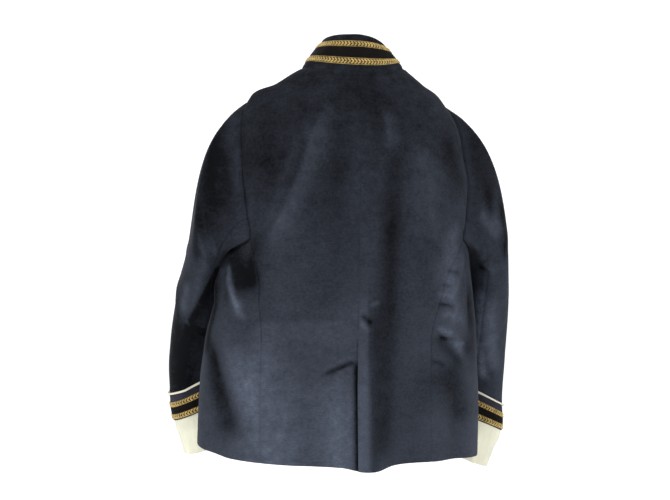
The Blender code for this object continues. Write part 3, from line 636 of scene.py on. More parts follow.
# ------------------------------------------------------------------ cloth walls
SEAM_DIP = 0.0011             # a sewn edge lies this far down
SEAM_WIDTH = 0.0024
SEAM_SWELL = 0.00035          # and the cloth beside it stands this far up
SWELL_AT = 0.0075
HEM_ROLL = 0.0007             # a folded edge is rounded by this much
ROLL_WIDTH = 0.0011
HEM_STITCH = 0.0003           # a hem's stitches pull the cloth in this far
STITCH_AT = 0.026
THIN_ROLL = 0.0004            # the edge of satin
THIN_WIDTH = 0.0008
RIDGE_LIGHT_TROUGH_SHADE = 26.0             # painted highlight on fold ridges and painted shade in their troughs, for each metre of lift
SMALL_FOLDS = {key: column[3:] for key, column in TORSO_FOLDS.items()}
FLIP = [0, 3, 2, 1]           # a face's corners the other way round


def tail(side):
    return "_left" if side > 0 else "_right"


def bell(x, width):
    """Bell curve round 0 that is 1 high."""
    return np.exp(-(x / width) ** 2)


def push(points, ways, amount):
    """Points moved along their own ways by an amount each."""
    return points + ways * np.asarray(amount)[..., None]


def spread(count, share):
    """Steps from 0 to 1 that crowd towards both ends."""
    s = np.linspace(0.0, 1.0, count + 1)
    return mix(s, 0.5 * (1.0 - np.cos(math.pi * s)), share)


def ripple(along, seed):
    """Uneven wave between -1 and 1 along a seam, for its slight puckers."""
    return (np.sin(along * 310.0 + seed) * 0.5 + np.sin(along * 173.0 + seed * 2.3) * 0.3
            + np.sin(along * 521.0 + seed * 1.7) * 0.2)


def distances(points):
    """Distance of each grid point from the grid's four borders, along the cloth."""
    across = np.linalg.norm(np.diff(points, axis=1, prepend=points[:, :1]), axis=-1)
    down = np.linalg.norm(np.diff(points, axis=0, prepend=points[:1]), axis=-1)
    start, low = np.cumsum(across, axis=1), np.cumsum(down, axis=0)
    return {"start": start, "end": start[:, -1:] - start, "low": low, "high": low[-1:] - low}


def mitre(first, second):
    """Way through the wall where two pieces meet at an angle, for a wall 1 thick."""
    middle = unit(first + second)
    return middle / np.clip(np.sum(middle * first, axis=-1, keepdims=True), 0.45, 1.0)


def steps(points, axis, closed):
    """Way from each point's neighbour before it to the one after it."""
    if closed:
        return np.roll(points, -1, axis=axis) - np.roll(points, 1, axis=axis)
    return np.gradient(points, axis=axis)


def looks_in(outer, inner, closed):
    """True where the grid's rows and columns run so that its outer face would look in."""
    middle = len(outer) // 2
    normal = unit(np.cross(steps(outer, 1, closed), steps(outer, 0, False)))[middle]
    return np.sum(normal * (outer[middle] - inner[middle])) < 0.0


def quads(rows, cols, loop_rows=False, loop_cols=False):
    """Faces of a grid, as the numbers of their corners."""
    i, j = np.meshgrid(np.arange(rows - 1 + loop_rows), np.arange(cols - 1 + loop_cols),
                       indexing="ij")
    n, k = (i + 1) % rows, (j + 1) % cols
    corners = (i * cols + j, i * cols + k, n * cols + k, n * cols + j)
    return np.stack(corners, axis=-1).reshape(-1, 4)


def add_piece(name, mesh, materials, node=None):
    for one in materials:
        mesh.materials.append(one)
    piece = bpy.data.objects.new(name, mesh)
    bpy.context.scene.collection.objects.link(piece)
    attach(piece, "root")
    if node:
        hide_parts(node)


def add_wall(name, points, outer, inner, materials, node, closed=False, nap=None,
             centred=True):
    """Adds a closed wall between two grids, cut to the size of its points.

    The inner face has a material slot of its own.  The UV map holds the cloth's own
    measures in metres, across from its middle (or from its edge) and along.
    """
    far = distances(points)
    uv = np.stack([far["start"], far["low"]], axis=-1)
    if centred and not closed:
        uv[..., 0] -= far["start"][:, uv.shape[1] // 2, None]
    if looks_in(outer, inner, closed):
        outer, inner, uv = outer[::-1], inner[::-1], uv[::-1]
        nap = nap if nap is None else nap[::-1]
    rows, cols = outer.shape[:2]
    under, end, top = rows * cols, cols - 1, (rows - 1) * cols
    skin = quads(rows, cols, loop_cols=closed)
    back = skin[:, FLIP] + under
    j = np.arange(cols - 1 + closed)
    k = (j + 1) % cols
    rims = [(j, j + under, k + under, k), (top + j, top + k, top + k + under, top + j + under)]
    if not closed:
        low = np.arange(rows - 1) * cols
        high = low + cols
        rims += [(low, high, high + under, low + under),
                 (low + end, low + end + under, high + end + under, high + end)]
    faces = np.concatenate([skin, *[np.stack(rim, axis=-1) for rim in rims], back])
    mesh = bpy.data.meshes.new(name)
    both = np.concatenate([outer.reshape(-1, 3), inner.reshape(-1, 3)])
    mesh.from_pydata(both.tolist(), [], faces.tolist())
    corner = np.zeros(len(mesh.loops), dtype=np.int32)
    mesh.loops.foreach_get("vertex_index", corner)
    places = np.tile(uv.reshape(-1, 2), (2, 1))[corner].astype(np.float32)
    mesh.uv_layers.new(name="cloth").data.foreach_set("uv", places.ravel())
    mesh.shade_smooth()
    # the nap attribute carries painted light and shade into the velvet's colour
    if nap is not None:
        brushed_and_shaded = mesh.attributes.new("nap", "FLOAT", "POINT")
        brushed_and_shaded.data.foreach_set("value", np.tile(nap.ravel(), 2).astype(np.float32))
    slots = np.repeat([0, 1], [len(faces) - len(back), len(back)])
    mesh.polygons.foreach_set("material_index", slots.astype(np.int32))
    mesh.update()
    add_piece(name, mesh, materials, node)


def dip_edges(points, normals, seams, hems, seed):
    """Lets sewn edges down into their seams and rounds folded edges.

    seams gives each sewn edge the strength of its dip, 1 where the seam shows fully.
    """
    far = distances(points)
    fall = np.zeros(points.shape[:2])
    for name, strength in seams.items():
        run = far["low"] if name in ("start", "end") else far["start"]
        depth = SEAM_DIP * (1.0 + 0.45 * ripple(run, seed)) * strength
        swell = SEAM_SWELL * (1.0 + ripple(run, seed + 2.0)) * strength
        fall += depth * bell(far[name], SEAM_WIDTH)
        fall -= swell * bell(far[name] - SWELL_AT, 0.004)
    roll = np.zeros(points.shape[:2])
    for name in hems:
        roll += HEM_ROLL * bell(far[name], ROLL_WIDTH)
        fall += HEM_STITCH * bell(far[name] - STITCH_AT, 0.0016)
    return push(points, normals, -(fall + roll)), roll


# ------------------------------------------------------------------ torso
FOOT = float(armhole(JOIN_ANGLE, 1.0)[1])
LOW = FOOT * spread(124, 0.3)
ARM_ANGLES = JOIN_ANGLE * (1.0 - np.linspace(0.0, 1.0, 41))
TOP = mix(SHOULDER_TIP, 1.0, spread(26, 0.6)[1:])
PANEL_ROWS = np.concatenate([LOW, armhole(ARM_ANGLES[1:], 1.0)[1], TOP])
ARM_ROWS = len(LOW) - 1 + np.arange(len(ARM_ANGLES))
LAP_START = 0.038             # the under layer starts to lap this far above the vent
VENT_REACH = 0.19             # in q: how far the under layer lies in, beside the seam


def outer_edge(side, where):
    """q of a panel's outer edge on each shared row: side seam, armhole, shoulder."""
    angles = ARM_ANGLES[1:] if where == "back" else 360.0 - ARM_ANGLES[1:]
    return np.concatenate([seam(where + tail(side), LOW), armhole(angles, side)[0],
                           np.full(len(TOP), float(side))])


def vent_under(q, t):
    """The left back passes under the right one at the vent."""
    near = ease((seam("centre", t) + VENT_REACH - q) / 0.09)
    return -LAP_DEPTH * near * ease((VENT_TOP + 0.06 - t) / 0.05)


def vent_flap_shadow(q, t):
    """Painted shadow of the right flap's edge on the left one, where it lies over it at the
    vent.
    """
    return -0.8 * bell(q - seam("centre", t), 0.016) * ease((VENT_TOP + 0.01 - t) / 0.03)


def neck_mitre(q):
    ones = np.ones_like(q)
    return mitre(torso_normal(q, ones, neck_lift), collar_normal(q, np.zeros_like(q)))


def torso_wall(node, q, t, lift, seams, hems, seed, border, angles, side, shade=0.0):
    """Panel of the torso whose border, an index of its grid, is sewn to the armhole."""
    points, normals = torso_point(q, t, lift), torso_normal(q, t, lift)
    through = normals.copy()
    if t[-1, 0] > 0.999:
        through[-1] = neck_mitre(q[-1])
    down = sleeve_normal(angles, np.full(len(angles), -1.0), side)
    through[border] = mitre(armhole_frame(angles, side)[1], down)
    outer, roll = dip_edges(points, normals, seams, hems, seed)
    # painted light and shade: the shade given, the table's lines, and lighter ridges with darker
    # troughs on the small folds
    nap = shade + torso_lift(TORSO_NAP_AND_SHADE, q, t) + RIDGE_LIGHT_TROUGH_SHADE * torso_lift(SMALL_FOLDS, q, t)
    add_wall("velvet_" + node, points, outer, push(points, through, roll - WALL),
             (VELVET, BACKING), node, nap=nap)


def back_panel(side):
    left = side > 0
    start = seam("centre", np.minimum(PANEL_ROWS, LOW[-1]))
    if left:
        start = start - VENT_LAP * ease((VENT_TOP + LAP_START - PANEL_ROWS) / 0.055)
    q = mix(start[:, None], outer_edge(side, "back")[:, None], spread(88, 0.7))
    t = np.broadcast_to(PANEL_ROWS[:, None], q.shape)
    seams = {"high": 0.8, "start": 1.0 - 0.75 * ease((t - 0.62) / 0.10),
             "end": 1.0 - 0.8 * ease((t - 0.76) / 0.06) * left}
    # the left back carries the painted shadow of the vent's flap
    torso_wall("back" + tail(side), q, t, vent_under if left else None, seams, ("low",),
               1.0 + side, np.s_[ARM_ROWS, -1], ARM_ANGLES, side,
               vent_flap_shadow(q, t) if left else 0.0)


def front_panel(side):
    end = side * (2.0 + FRONT_LAP)
    q = mix(outer_edge(side, "front")[:, None], end, spread(80, 0.7))
    t = np.broadcast_to(PANEL_ROWS[:, None], q.shape)
    torso_wall("front" + tail(side), q, t, front_under if side > 0 else None,
               {"high": 1.0, "start": 1.0}, ("low", "end"), 4.0 + side,
               np.s_[ARM_ROWS, 0], 360.0 - ARM_ANGLES, side)


def side_panel(side):
    angles = mix(JOIN_ANGLE, 360.0 - JOIN_ANGLE, spread(84, 0.6))
    top_q, top_t = armhole(angles, side)
    share = (top_q - top_q[0]) / (top_q[-1] - top_q[0])
    q = mix(seam("back" + tail(side), LOW)[:, None], seam("front" + tail(side), LOW)[:, None],
            share)
    t = (LOW / LOW[-1])[:, None] * top_t
    torso_wall("side" + tail(side), q, t, None, {"high": 1.0, "start": 1.0, "end": 1.0},
               ("low",), 7.0 + side, np.s_[-1, :], angles, side)


# ------------------------------------------------------------------ sleeves and cuffs
AROUND = np.linspace(0.0, 360.0, 121)[:-1]
CREAM_WAVE = 0.0011           # height of the inner cuff's folds
CREAM_HEM = 0.012             # its hem's stitches are this far above its edge
RIBBON_RISE = 0.0006
RIBBON_TUCK = 0.004           # in s: the ribbon runs this far under each braid


def sleeve_grid(angles, rows, side):
    a, s = np.meshgrid(angles, rows)
    return a, s, sleeve_point(a, s, side), sleeve_normal(a, s, side)


def sleeve_wall(base, angles, side):
    rows = np.concatenate([-1.0 + spread(56, 0.4), PIPING_AT * spread(84, 0.3)[1:]])
    a, s, points, normals = sleeve_grid(angles, rows, side)
    through = normals.copy()
    through[0] = mitre(armhole_frame(angles, side)[1], normals[0])
    at_top = 1.0 - 0.8 * ease((70.0 - np.abs(a)) / 30.0) * (side > 0)
    seams = {"low": at_top, "high": 1.0, "start": 0.6, "end": 0.6}
    outer, _ = dip_edges(points, normals, seams, (), 2.0 * side + len(base))
    # painted light and shade for the sleeve: the table's lines, and lighter ridges with darker
    # troughs on its folds
    lines = SLEEVE_NAP_AND_SHADE_LEFT if side > 0 else SLEEVE_NAP_AND_SHADE_RIGHT
    folds = SLEEVE_FOLDS_LEFT if side > 0 else SLEEVE_FOLDS_RIGHT
    nap = sleeve_lift(lines, a, s) + RIDGE_LIGHT_TROUGH_SHADE * sleeve_lift(folds, a, s)
    node = base + tail(side)
    add_wall("velvet_" + node, points, outer, push(points, through, -WALL),
             (VELVET, BACKING), node, nap=nap)


def velvet_cuff(side):
    _, _, points, normals = sleeve_grid(AROUND, mix(PIPING_AT, 1.0, spread(30, 0.7)), side)
    far = distances(points)
    roll = 0.0008 * bell(far["high"], ROLL_WIDTH)
    outer = push(points, normals, -(roll + SEAM_DIP * bell(far["low"], SEAM_WIDTH)))
    node = "cuff" + tail(side)
    add_wall("velvet_" + node, points, outer, push(points, normals, roll - WALL),
             (CUFF_VELVET, BACKING), node, True)


def satin_cuff(side):
    """Inner cuff of cream satin with soft upright folds, open below."""
    rows = mix(CREAM_TOP, CREAM_END, spread(40, 0.5))
    a, s, points, normals = sleeve_grid(AROUND, rows, side)
    free = ease((s - 1.005) / 0.12)
    turn = np.radians(a)
    wave = (0.50 * np.sin(7.0 * turn + 0.6 * side + 1.2 * s)
            + 0.35 * np.sin(11.0 * turn + 2.1 - 2.0 * s)
            + 0.25 * np.sin(17.0 * turn - 1.1 * side))
    points = push(points, normals, CREAM_WAVE * free * wave - WALL - SEAT_GAP)
    high = distances(points)["high"]
    roll = THIN_ROLL * bell(high, THIN_WIDTH)
    crease = 0.0004 * bell(high - CREAM_HEM, 0.0010) * free
    node = "cuff_lining" + tail(side)
    add_wall("satin_" + node, points, push(points, normals, -(roll + crease)),
             push(points, normals, roll - CREAM_WALL), (SATIN, SATIN), node, True)


def ribbon(node, points, normals, closed):
    """Ribbon lying on a piece's own points, with soft edges."""
    far = distances(points)
    roll = 0.3 * RIBBON_RISE * bell(np.minimum(far["low"], far["high"]), 0.0005)
    add_wall(node + "_cloth", points, push(points, normals, SEAT_GAP + RIBBON_RISE - roll),
             push(points, normals, SEAT_GAP), (RIBBON_CLOTH, RIBBON_CLOTH), node,
             closed, centred=False)


def cuff_ribbon(side):
    rows = mix(CUFF_RIBBON[0] - RIBBON_TUCK, CUFF_RIBBON[1] + RIBBON_TUCK, spread(8, 0.6))
    _, _, points, normals = sleeve_grid(AROUND, rows, side)
    ribbon("cuff_ribbon" + tail(side), points, normals, True)


# ------------------------------------------------------------------ braid and cord
PLAIT_PITCH = 0.0058
STRAND_HEIGHT = 0.0015
STRAND_SLANT = math.radians(40.0)
EDGE_CORD = 0.00045           # radius of a braid's edge cords and of the buttons' thread
CORD_TWIST = 0.0085           # length of one turn of the cream cord
GROUND_LIFT = 0.0004          # of the dark ground; then the strands and edge cords
STRAND_LIFT = 0.0003
EDGE_LIFT = 0.0005
EDGE_INSET = 0.0003


def even_path(centre, across, normal, pitch, closed):
    """Resamples a path and its frames at an even pitch."""
    if closed:
        centre, across, normal = (np.concatenate([values, values[:1]])
                                  for values in (centre, across, normal))
    step = np.linalg.norm(np.diff(centre, axis=0), axis=-1)
    along = np.concatenate([[0.0], np.cumsum(step)])
    count = max(int(round(along[-1] / pitch)), 4)
    at = np.linspace(0.0, along[-1], count + 1)
    if closed:
        at = at[:-1]

    def read(values):
        return np.stack([np.interp(at, along, values[:, k]) for k in range(3)], axis=-1)

    return read(centre), unit(read(across)), unit(read(normal)), along[-1] / count


def strand_leaf(length, width, height):
    """Upper half of a long bead: points in its own x, y, z, and its faces."""
    around, rings = 7, 6
    points = []
    for i in range(rings + 1):
        along = -1.0 + 2.0 * i / rings
        swell = max(1.0 - along ** 2, 0.0) ** 0.4 + 0.02
        for j in range(around):
            turn = math.pi * j / (around - 1)
            points.append((along * length / 2.0, math.cos(turn) * width / 2.0 * swell,
                           math.sin(turn) * height * swell))
    return np.array(points), quads(rings + 1, around).tolist()


def plait(centre, across, normal, width, lift, closed):
    """Two rows of slanting strands that meet in points down the braid's middle."""
    centre, across, normal, pitch = even_path(centre, across, normal, PLAIT_PITCH, closed)
    ahead = unit(steps(centre, 0, closed))
    leaf, faces = strand_leaf(width * 0.52 / math.sin(STRAND_SLANT), pitch * 0.46,
                              STRAND_HEIGHT)
    parts = []
    for k in range(len(centre)):
        for hand in (1.0, -1.0):
            c, s = math.cos(STRAND_SLANT), math.sin(STRAND_SLANT) * hand
            x = leaf[:, 0] * c - leaf[:, 1] * s
            y = leaf[:, 0] * s + leaf[:, 1] * c + hand * width * 0.25
            points = (centre[k] + ahead[k] * x[:, None] + across[k] * y[:, None]
                      + normal[k] * (leaf[:, 2:] + lift))
            parts.append((points, faces))
    return merge(parts)


def merge(parts):
    """Joins lists of points and faces into one."""
    points, faces, base = [], [], 0
    for some, corners in parts:
        points.append(some)
        faces.extend([tuple(i + base for i in face) for face in corners])
        base += len(some)
    return np.concatenate(points), faces


def tube(centre, first, second, radius, closed, sides):
    """Round tube along a path; first and second span its section."""
    turns = 2.0 * math.pi * np.arange(sides) / sides
    ring = (centre[:, None] + radius * (first[:, None] * np.cos(turns)[None, :, None]
                                        + second[:, None] * np.sin(turns)[None, :, None]))
    faces = quads(len(centre), sides, closed, True)[:, FLIP].tolist()
    if not closed:
        faces.append(range(sides))
        faces.append(range(len(centre) * sides - 1, (len(centre) - 1) * sides - 1, -1))
    return ring.reshape(-1, 3), faces


def loose_mesh(name, parts, materials, node=None):
    """One piece from lists of points and faces, each with a material of its own."""
    mesh = bpy.data.meshes.new(name)
    points, faces = merge(parts)
    mesh.from_pydata(points.tolist(), [], faces)
    slots = np.repeat(np.arange(len(parts)), [len(corners) for _, corners in parts])
    mesh.polygons.foreach_set("material_index", slots.astype(np.int32))
    mesh.shade_smooth()
    mesh.update()
    add_piece(name, mesh, materials, node)


def braid_band(surface, low, high, node):
    """One braid: its strands, edge cords and dark ground, on a surface read by height."""
    middle, across, normal, closed = surface((low + high) / 2.0)
    under, over = surface(low)[0], surface(high)[0]
    width = float(np.mean(np.linalg.norm(over - under, axis=-1)))
    gold = [plait(middle, across, normal, width * 0.92, SEAT_GAP + STRAND_LIFT, closed)]
    for line, hand in ((under, 1.0), (over, -1.0)):
        path, up, out, _ = even_path(line, across, normal, 0.0030, closed)
        path = path - up * hand * EDGE_INSET + out * (SEAT_GAP + EDGE_LIFT)
        gold.append(tube(path, up, out, EDGE_CORD, closed, 6))
    path, up, out, _ = even_path(middle, across, normal, 0.0040, closed)
    base = path + out * (SEAT_GAP + GROUND_LIFT)
    ground = np.stack([base - up * width * 0.48, base + up * width * 0.48], axis=1)
    if closed:
        ground = np.concatenate([ground, ground[:1]])
    faces = quads(len(ground), 2)[:, FLIP].tolist()
    loose_mesh(node + "_gold", [merge(gold), (ground.reshape(-1, 3), faces)],
               (GOLD, BRAID_GROUND), node)


def cuff_level(side):
    def at(s):
        level = np.full(len(AROUND), s)
        above, centre, below = (sleeve_point(AROUND, level + step, side)
                                for step in (-0.01, 0.0, 0.01))
        return centre, unit(above - below), sleeve_normal(AROUND, level, side), True
    return at


def twisted_cord(side):
    """Cream cord of three strands lying on the cuff's upper seam."""
    centre, across, normal, _ = cuff_level(side)(PIPING_AT)
    centre, across, normal, step = even_path(centre, across, normal, 0.0009, True)
    centre = centre + normal * (PIPING_RADIUS + SEAT_GAP)
    count = len(centre)
    turns = round(count * step / CORD_TWIST)
    parts = []
    for strand in range(3):
        phase = 2.0 * math.pi * (turns * np.arange(count) / count + strand / 3.0)
        out = across * np.cos(phase)[:, None] + normal * np.sin(phase)[:, None]
        path = centre + out * PIPING_RADIUS * 0.66
        parts.append(tube(path, across, normal, PIPING_RADIUS * 0.70, True, 7))
    loose_mesh("cord" + tail(side), [merge(parts)], (CORD,), "cuff_piping" + tail(side))


# ------------------------------------------------------------------ collar
COLLAR_OPENING = 0.045        # in q: how much wider the front opening is at the top
COLLAR_FEET = np.linspace(-2.0 - FRONT_LAP, 2.0 + FRONT_LAP, 241)


def collar_grid(rows):
    h = np.asarray(rows, float)[:, None]
    ahead = np.maximum(np.abs(COLLAR_FEET) - 1.0, 0.0)
    q = COLLAR_FEET - np.sign(COLLAR_FEET) * COLLAR_OPENING * h * ahead
    return q, np.broadcast_to(h, q.shape)


def stand_collar():
    q, h = collar_grid(spread(44, 0.6))
    points, normals = collar_point(q, h), collar_normal(q, h)
    through = normals.copy()
    through[0] = neck_mitre(q[0])
    outer, roll = dip_edges(points, normals, {"low": 0.8}, ("high", "start", "end"), 3.0)
    outer = push(outer, normals, 0.0004 * bell(distances(points)["high"] - 0.004, 0.003))
    add_wall("velvet_collar", points, outer, push(points, through, roll - WALL),
             (VELVET, BACKING), "collar")


def trim_sag(q, h):
    """The trims lie a little lower on the collar's left side."""
    return h - 0.05 * (1.3 - h) * ease((q - 0.15) / 0.6) * ease((1.8 - q) / 0.5)


def collar_level(h):
    q, h = collar_grid([h])
    h = trim_sag(q, h)
    up = unit(collar_point(q, h + 0.02)[0] - collar_point(q, h - 0.02)[0])
    return collar_point(q, h)[0], up, collar_normal(q, h)[0], False


def collar_ribbon():
    q, h = collar_grid(mix(RIBBON[0] - 0.02, RIBBON[1] + 0.02, spread(10, 0.6)))
    h = trim_sag(q, h)
    ribbon("collar_ribbon", collar_point(q, h), collar_normal(q, h), False)


def collar_facing():
    """Inner collar of satin; it rolls a little over the top edge at the back."""
    q, h = collar_grid(mix(LOWER_BRAID[0], 1.0, spread(30, 0.6)))
    points, normals = collar_point(q, h), collar_normal(q, h)
    rise = ease((h - 0.93) / 0.07) * (0.0003 + 0.0016 * bell(q, 0.30))
    up = unit(collar_point(q, np.minimum(h + 0.02, 1.0)) - collar_point(q, h - 0.02))
    points = push(points - normals * (WALL + SEAT_GAP), up, rise)
    roll = THIN_ROLL * bell(distances(points)["high"], THIN_WIDTH)
    add_wall("satin_facing", points, push(points, normals, -roll),
             push(points, normals, roll - FACING_WALL), (FACING, FACING),
             "collar_facing")


# ------------------------------------------------------------------ buttons
BUTTON_RADIUS = 0.010
BUTTON_HEIGHT = 0.0034
BUTTON_LEVELS = (0.36, 0.50, 0.64, 0.78, 0.92)
BUTTON_PROFILE = ((0.0, 0.62), (0.30, 0.60), (0.52, 0.64), (0.66, 0.78), (0.76, 0.92),
                  (0.86, 1.00), (0.94, 0.96), (0.99, 0.82), (1.00, 0.62), (0.97, 0.40),
                  (0.86, 0.18), (0.60, 0.02), (0.0, 0.0))
BUTTON_SPOKES = 40
HOLE_AT = -1.970              # in q: middle of a buttonhole, and half its length
HOLE_HALF = 0.036
HOLE_HEIGHT = 0.0017          # in t
HOLE_STITCHES = 44


def turns_round(count):
    return 2.0 * math.pi * np.arange(count) / count


def button(name, level):
    """Dished button with two bars of thread across its middle."""
    q, t = np.array([-2.0]), np.array([level])
    normal = torso_normal(q, t)[0]
    foot = torso_point(q, t)[0] + normal * (SEAT_GAP + 0.0002)
    sideways = unit(np.cross(np.array([0.0, 0.0, 1.0]), normal))
    upward = np.cross(normal, sideways)
    turns = turns_round(BUTTON_SPOKES)[:, None]
    ring = np.cos(turns) * sideways + np.sin(turns) * upward
    points = [foot + ring * max(radius, 0.004) * BUTTON_RADIUS + normal * height * BUTTON_HEIGHT
              for radius, height in BUTTON_PROFILE]
    faces = quads(len(BUTTON_PROFILE), BUTTON_SPOKES, loop_cols=True)[:, FLIP].tolist()
    loose_mesh(name + "_horn", [(np.concatenate(points), faces)], (HORN,), name)
    share = np.linspace(-1.0, 1.0, 9)[:, None]
    arch = 0.62 + 0.22 * (1.0 - share ** 2)
    bars = []
    for hand in (-1.0, 1.0):
        path = (foot + upward * share * 0.0021 + sideways * hand * 0.0014
                + normal * arch * BUTTON_HEIGHT)
        bars.append(tube(path, np.broadcast_to(sideways, path.shape),
                         np.broadcast_to(normal, path.shape), EDGE_CORD, False, 6))
    loose_mesh(name + "_thread", [merge(bars)], (THREAD,))


def buttonhole(name, level):
    """Worked hole beside each button, towards the front's edge: a ring of stitches."""
    turn = turns_round(HOLE_STITCHES)
    q = HOLE_AT - HOLE_HALF * np.cos(turn)
    t = level + HOLE_HEIGHT * np.sin(turn)
    normal = torso_normal(q, t)
    centre = torso_point(q, t) + normal * 0.0004
    across = np.cross(normal, unit(steps(centre, 0, True)))
    ring = tube(centre, across, normal, 0.0006, True, 6)
    loose_mesh(name, [ring], (THREAD,))


# ------------------------------------------------------------------ materials
def linear(red, green, blue):
    """Colour from display values of 0 to 255."""
    def one(value):
        value = value / 255.0
        return value / 12.92 if value <= 0.04045 else ((value + 0.055) / 1.055) ** 2.4
    return (one(red), one(green), one(blue), 1.0)


class Shader:
    """Short names for building a material's nodes."""

    def __init__(self, name):
        self.made = bpy.data.materials.new(name)
        self.made.use_nodes = True
        self.tree = self.made.node_tree
        self.main = self.tree.nodes["Principled BSDF"].inputs
        self.place = self.tree.nodes.new("ShaderNodeTexCoord").outputs

    def node(self, kind, inputs, output=0, **settings):
        """Adds a node: its inputs are constants, or outputs of other nodes."""
        node = self.tree.nodes.new("ShaderNode" + kind)
        for key, value in settings.items():
            setattr(node, key, value)
        for key, value in inputs.items():
            if isinstance(value, (float, tuple)):
                node.inputs[key].default_value = value
            else:
                self.tree.links.new(value, node.inputs[key])
        return node.outputs[output]

    def scaled(self, source, scale):
        return self.node("Mapping", {"Vector": self.place[source], "Scale": scale})

    def noise(self, scale, detail, rough, vector=None):
        place = self.place["Object"] if vector is None else vector
        return self.node("TexNoise", {"Vector": place, "Scale": scale, "Detail": detail,
                                      "Roughness": rough}, "Fac")

    def wave(self, vector, scale, direction, distort):
        return self.node("TexWave", {"Vector": vector, "Scale": scale, "Detail": 1.0,
                                     "Distortion": distort}, "Fac", bands_direction=direction)

    def weave(self, scale):
        """Threads both ways."""
        place = self.scaled("UV", (scale, scale, scale))
        return self.math("MULTIPLY", self.wave(place, 1.0, "X", 0.6),
                         self.wave(place, 1.0, "Y", 0.6))

    def ramp(self, value, *stops):
        out = self.node("ValToRGB", {"Fac": value}, "Color")
        points = out.node.color_ramp.elements
        while len(points) < len(stops):
            points.new(0.5)
        for point, (at, colour) in zip(points, stops):
            point.position = at
            point.color = colour
        return out

    def math(self, kind, first, second):
        return self.node("Math", {0: first, 1: second}, operation=kind)

    def total(self, *terms):
        """Sum of outputs, each times its weight."""
        whole = None
        for value, weight in terms:
            part = value if weight is None else self.math("MULTIPLY", value, weight)
            whole = part if whole is None else self.math("ADD", whole, part)
        return whole

    def bump(self, height, strength, distance, below=None):
        inputs = {"Height": height, "Strength": strength, "Distance": distance}
        if below is not None:
            inputs["Normal"] = below
        return self.node("Bump", inputs)

    def finish(self, colour, normal=None, **surface):
        """Links colour and normal to the shader, sets the rest and gives the material."""
        self.tree.links.new(colour, self.main["Base Color"])
        if normal is not None:
            self.tree.links.new(normal, self.main["Normal"])
        for key, value in surface.items():
            self.main[key.replace("_", " ")].default_value = value
        return self.made


def velvet(name, dark, light, crest, worn=1.0):
    """Short-pile velvet: brushed patches, fine rows of pile, painted shade darker towards the
    top, and the painted light and shade of the nap attribute.
    """
    made = Shader(name)
    patches = made.noise(8.0, 3.0, 0.6)
    streaks = made.noise(1.0, 5.0, 0.7, made.scaled("Object", (34.0, 34.0, 70.0)))
    mottle = made.noise(62.0, 4.0, 0.65)
    pile_marks = made.noise(210.0, 3.0, 0.7)
    # darker towards the top: painted shade for how the light falls down the velvet
    height = made.node("SeparateXYZ", {0: made.place["Object"]}, "Z")
    brushed_and_shaded = made.node("Attribute", {}, "Fac", attribute_name="nap")
    uneven = made.math("ADD", made.math("MULTIPLY", mottle, 1.6), 0.2)
    blend = made.total((patches, 0.24), (streaks, 0.20), (mottle, 0.26), (height, -0.60),
                       (made.math("MULTIPLY", brushed_and_shaded, uneven), None), (pile_marks, 0.34))
    blend = made.math("MULTIPLY", made.math("SUBTRACT", blend, 0.39), 0.8)
    colour = made.ramp(blend, (0.0, dark), (0.8, light), (1.0, crest))
    pile = made.noise(1100.0, 2.0, 0.6)
    rows = made.noise(1.0, 3.0, 0.6, made.scaled("Object", (160.0, 160.0, 700.0)))
    grain = made.total((pile, 0.5), (rows, 0.5))
    speck = made.ramp(grain, (0.28, (0.62, 0.62, 0.64, 1.0)), (0.72, (1.4, 1.4, 1.4, 1.0)))
    speckled = made.node("Mix", {0: 0.85, 6: colour, 7: speck}, 2, data_type="RGBA",
                         blend_type="MULTIPLY")
    soft = made.bump(patches, 0.30 * worn, 0.004)
    crush = made.bump(made.noise(60.0, 3.0, 0.6), 0.36 * worn, 0.0020, soft)
    return made.finish(speckled, made.bump(grain, 0.30, 0.0004, crush), Roughness=0.9,
                       Sheen_Weight=0.035, Sheen_Roughness=0.35,
                       Sheen_Tint=(0.72, 0.78, 0.90, 1.0), Specular_IOR_Level=0.06)


def toned(name, dark, light, pattern, stops, bump=None, tone=None, share=None,
          tone_bump=None, **surface):
    """Material from dark to light by a fine pattern, with a slower tone where given.

    share is the pattern's share in the blend, and bump its strength and depth.
    """
    made = Shader(name)
    fine = pattern(made)
    slow = made.noise(*tone) if tone else None
    blend = made.total((fine, share), (slow, 1.0 - share)) if tone else fine
    below = made.bump(slow, *tone_bump) if tone_bump else None
    return made.finish(made.ramp(blend, (stops[0], dark), (stops[1], light)),
                       made.bump(fine, *bump, below) if bump else None, **surface)


def satin(name, dark, light):
    """Smooth satin: fine lengthwise threads and soft uneven tone."""
    return toned(name, dark, light,
                 lambda made: made.noise(1.0, 2.0, 0.5, made.scaled("UV", (900.0, 60.0, 1.0))),
                 (0.25, 0.65), (0.12, 0.0002), (16.0, 2.0, 0.5), 0.35, (0.15, 0.002),
                 Roughness=0.42, Sheen_Weight=0.2, Sheen_Roughness=0.3,
                 Specular_IOR_Level=0.4)


def spun(name, dark, light, roughness=0.7):
    """Spun thread or cord with a slight fuzz."""
    return toned(name, dark, light, lambda made: made.noise(1200.0, 3.0, 0.6), (0.25, 0.7),
                 (0.4, 0.0003), (40.0, 2.0, 0.5), 0.5, Roughness=roughness,
                 Sheen_Weight=0.3, Sheen_Roughness=0.4)


VELVET = velvet("velvet", linear(8, 9, 12), linear(68, 74, 86), linear(82, 89, 102))
CUFF_VELVET = velvet("velvet_cuff", linear(14, 13, 18), linear(66, 66, 78),
                     linear(76, 76, 90), 0.6)
BACKING = toned("velvet_back", linear(14, 17, 22), linear(28, 32, 40),
                lambda made: made.weave(1400.0), (0.15, 0.75), (0.3, 0.0003),
                (30.0, 3.0, 0.55), 0.5, Roughness=0.85, Sheen_Weight=0.05,
                Sheen_Roughness=0.4, Specular_IOR_Level=0.3)
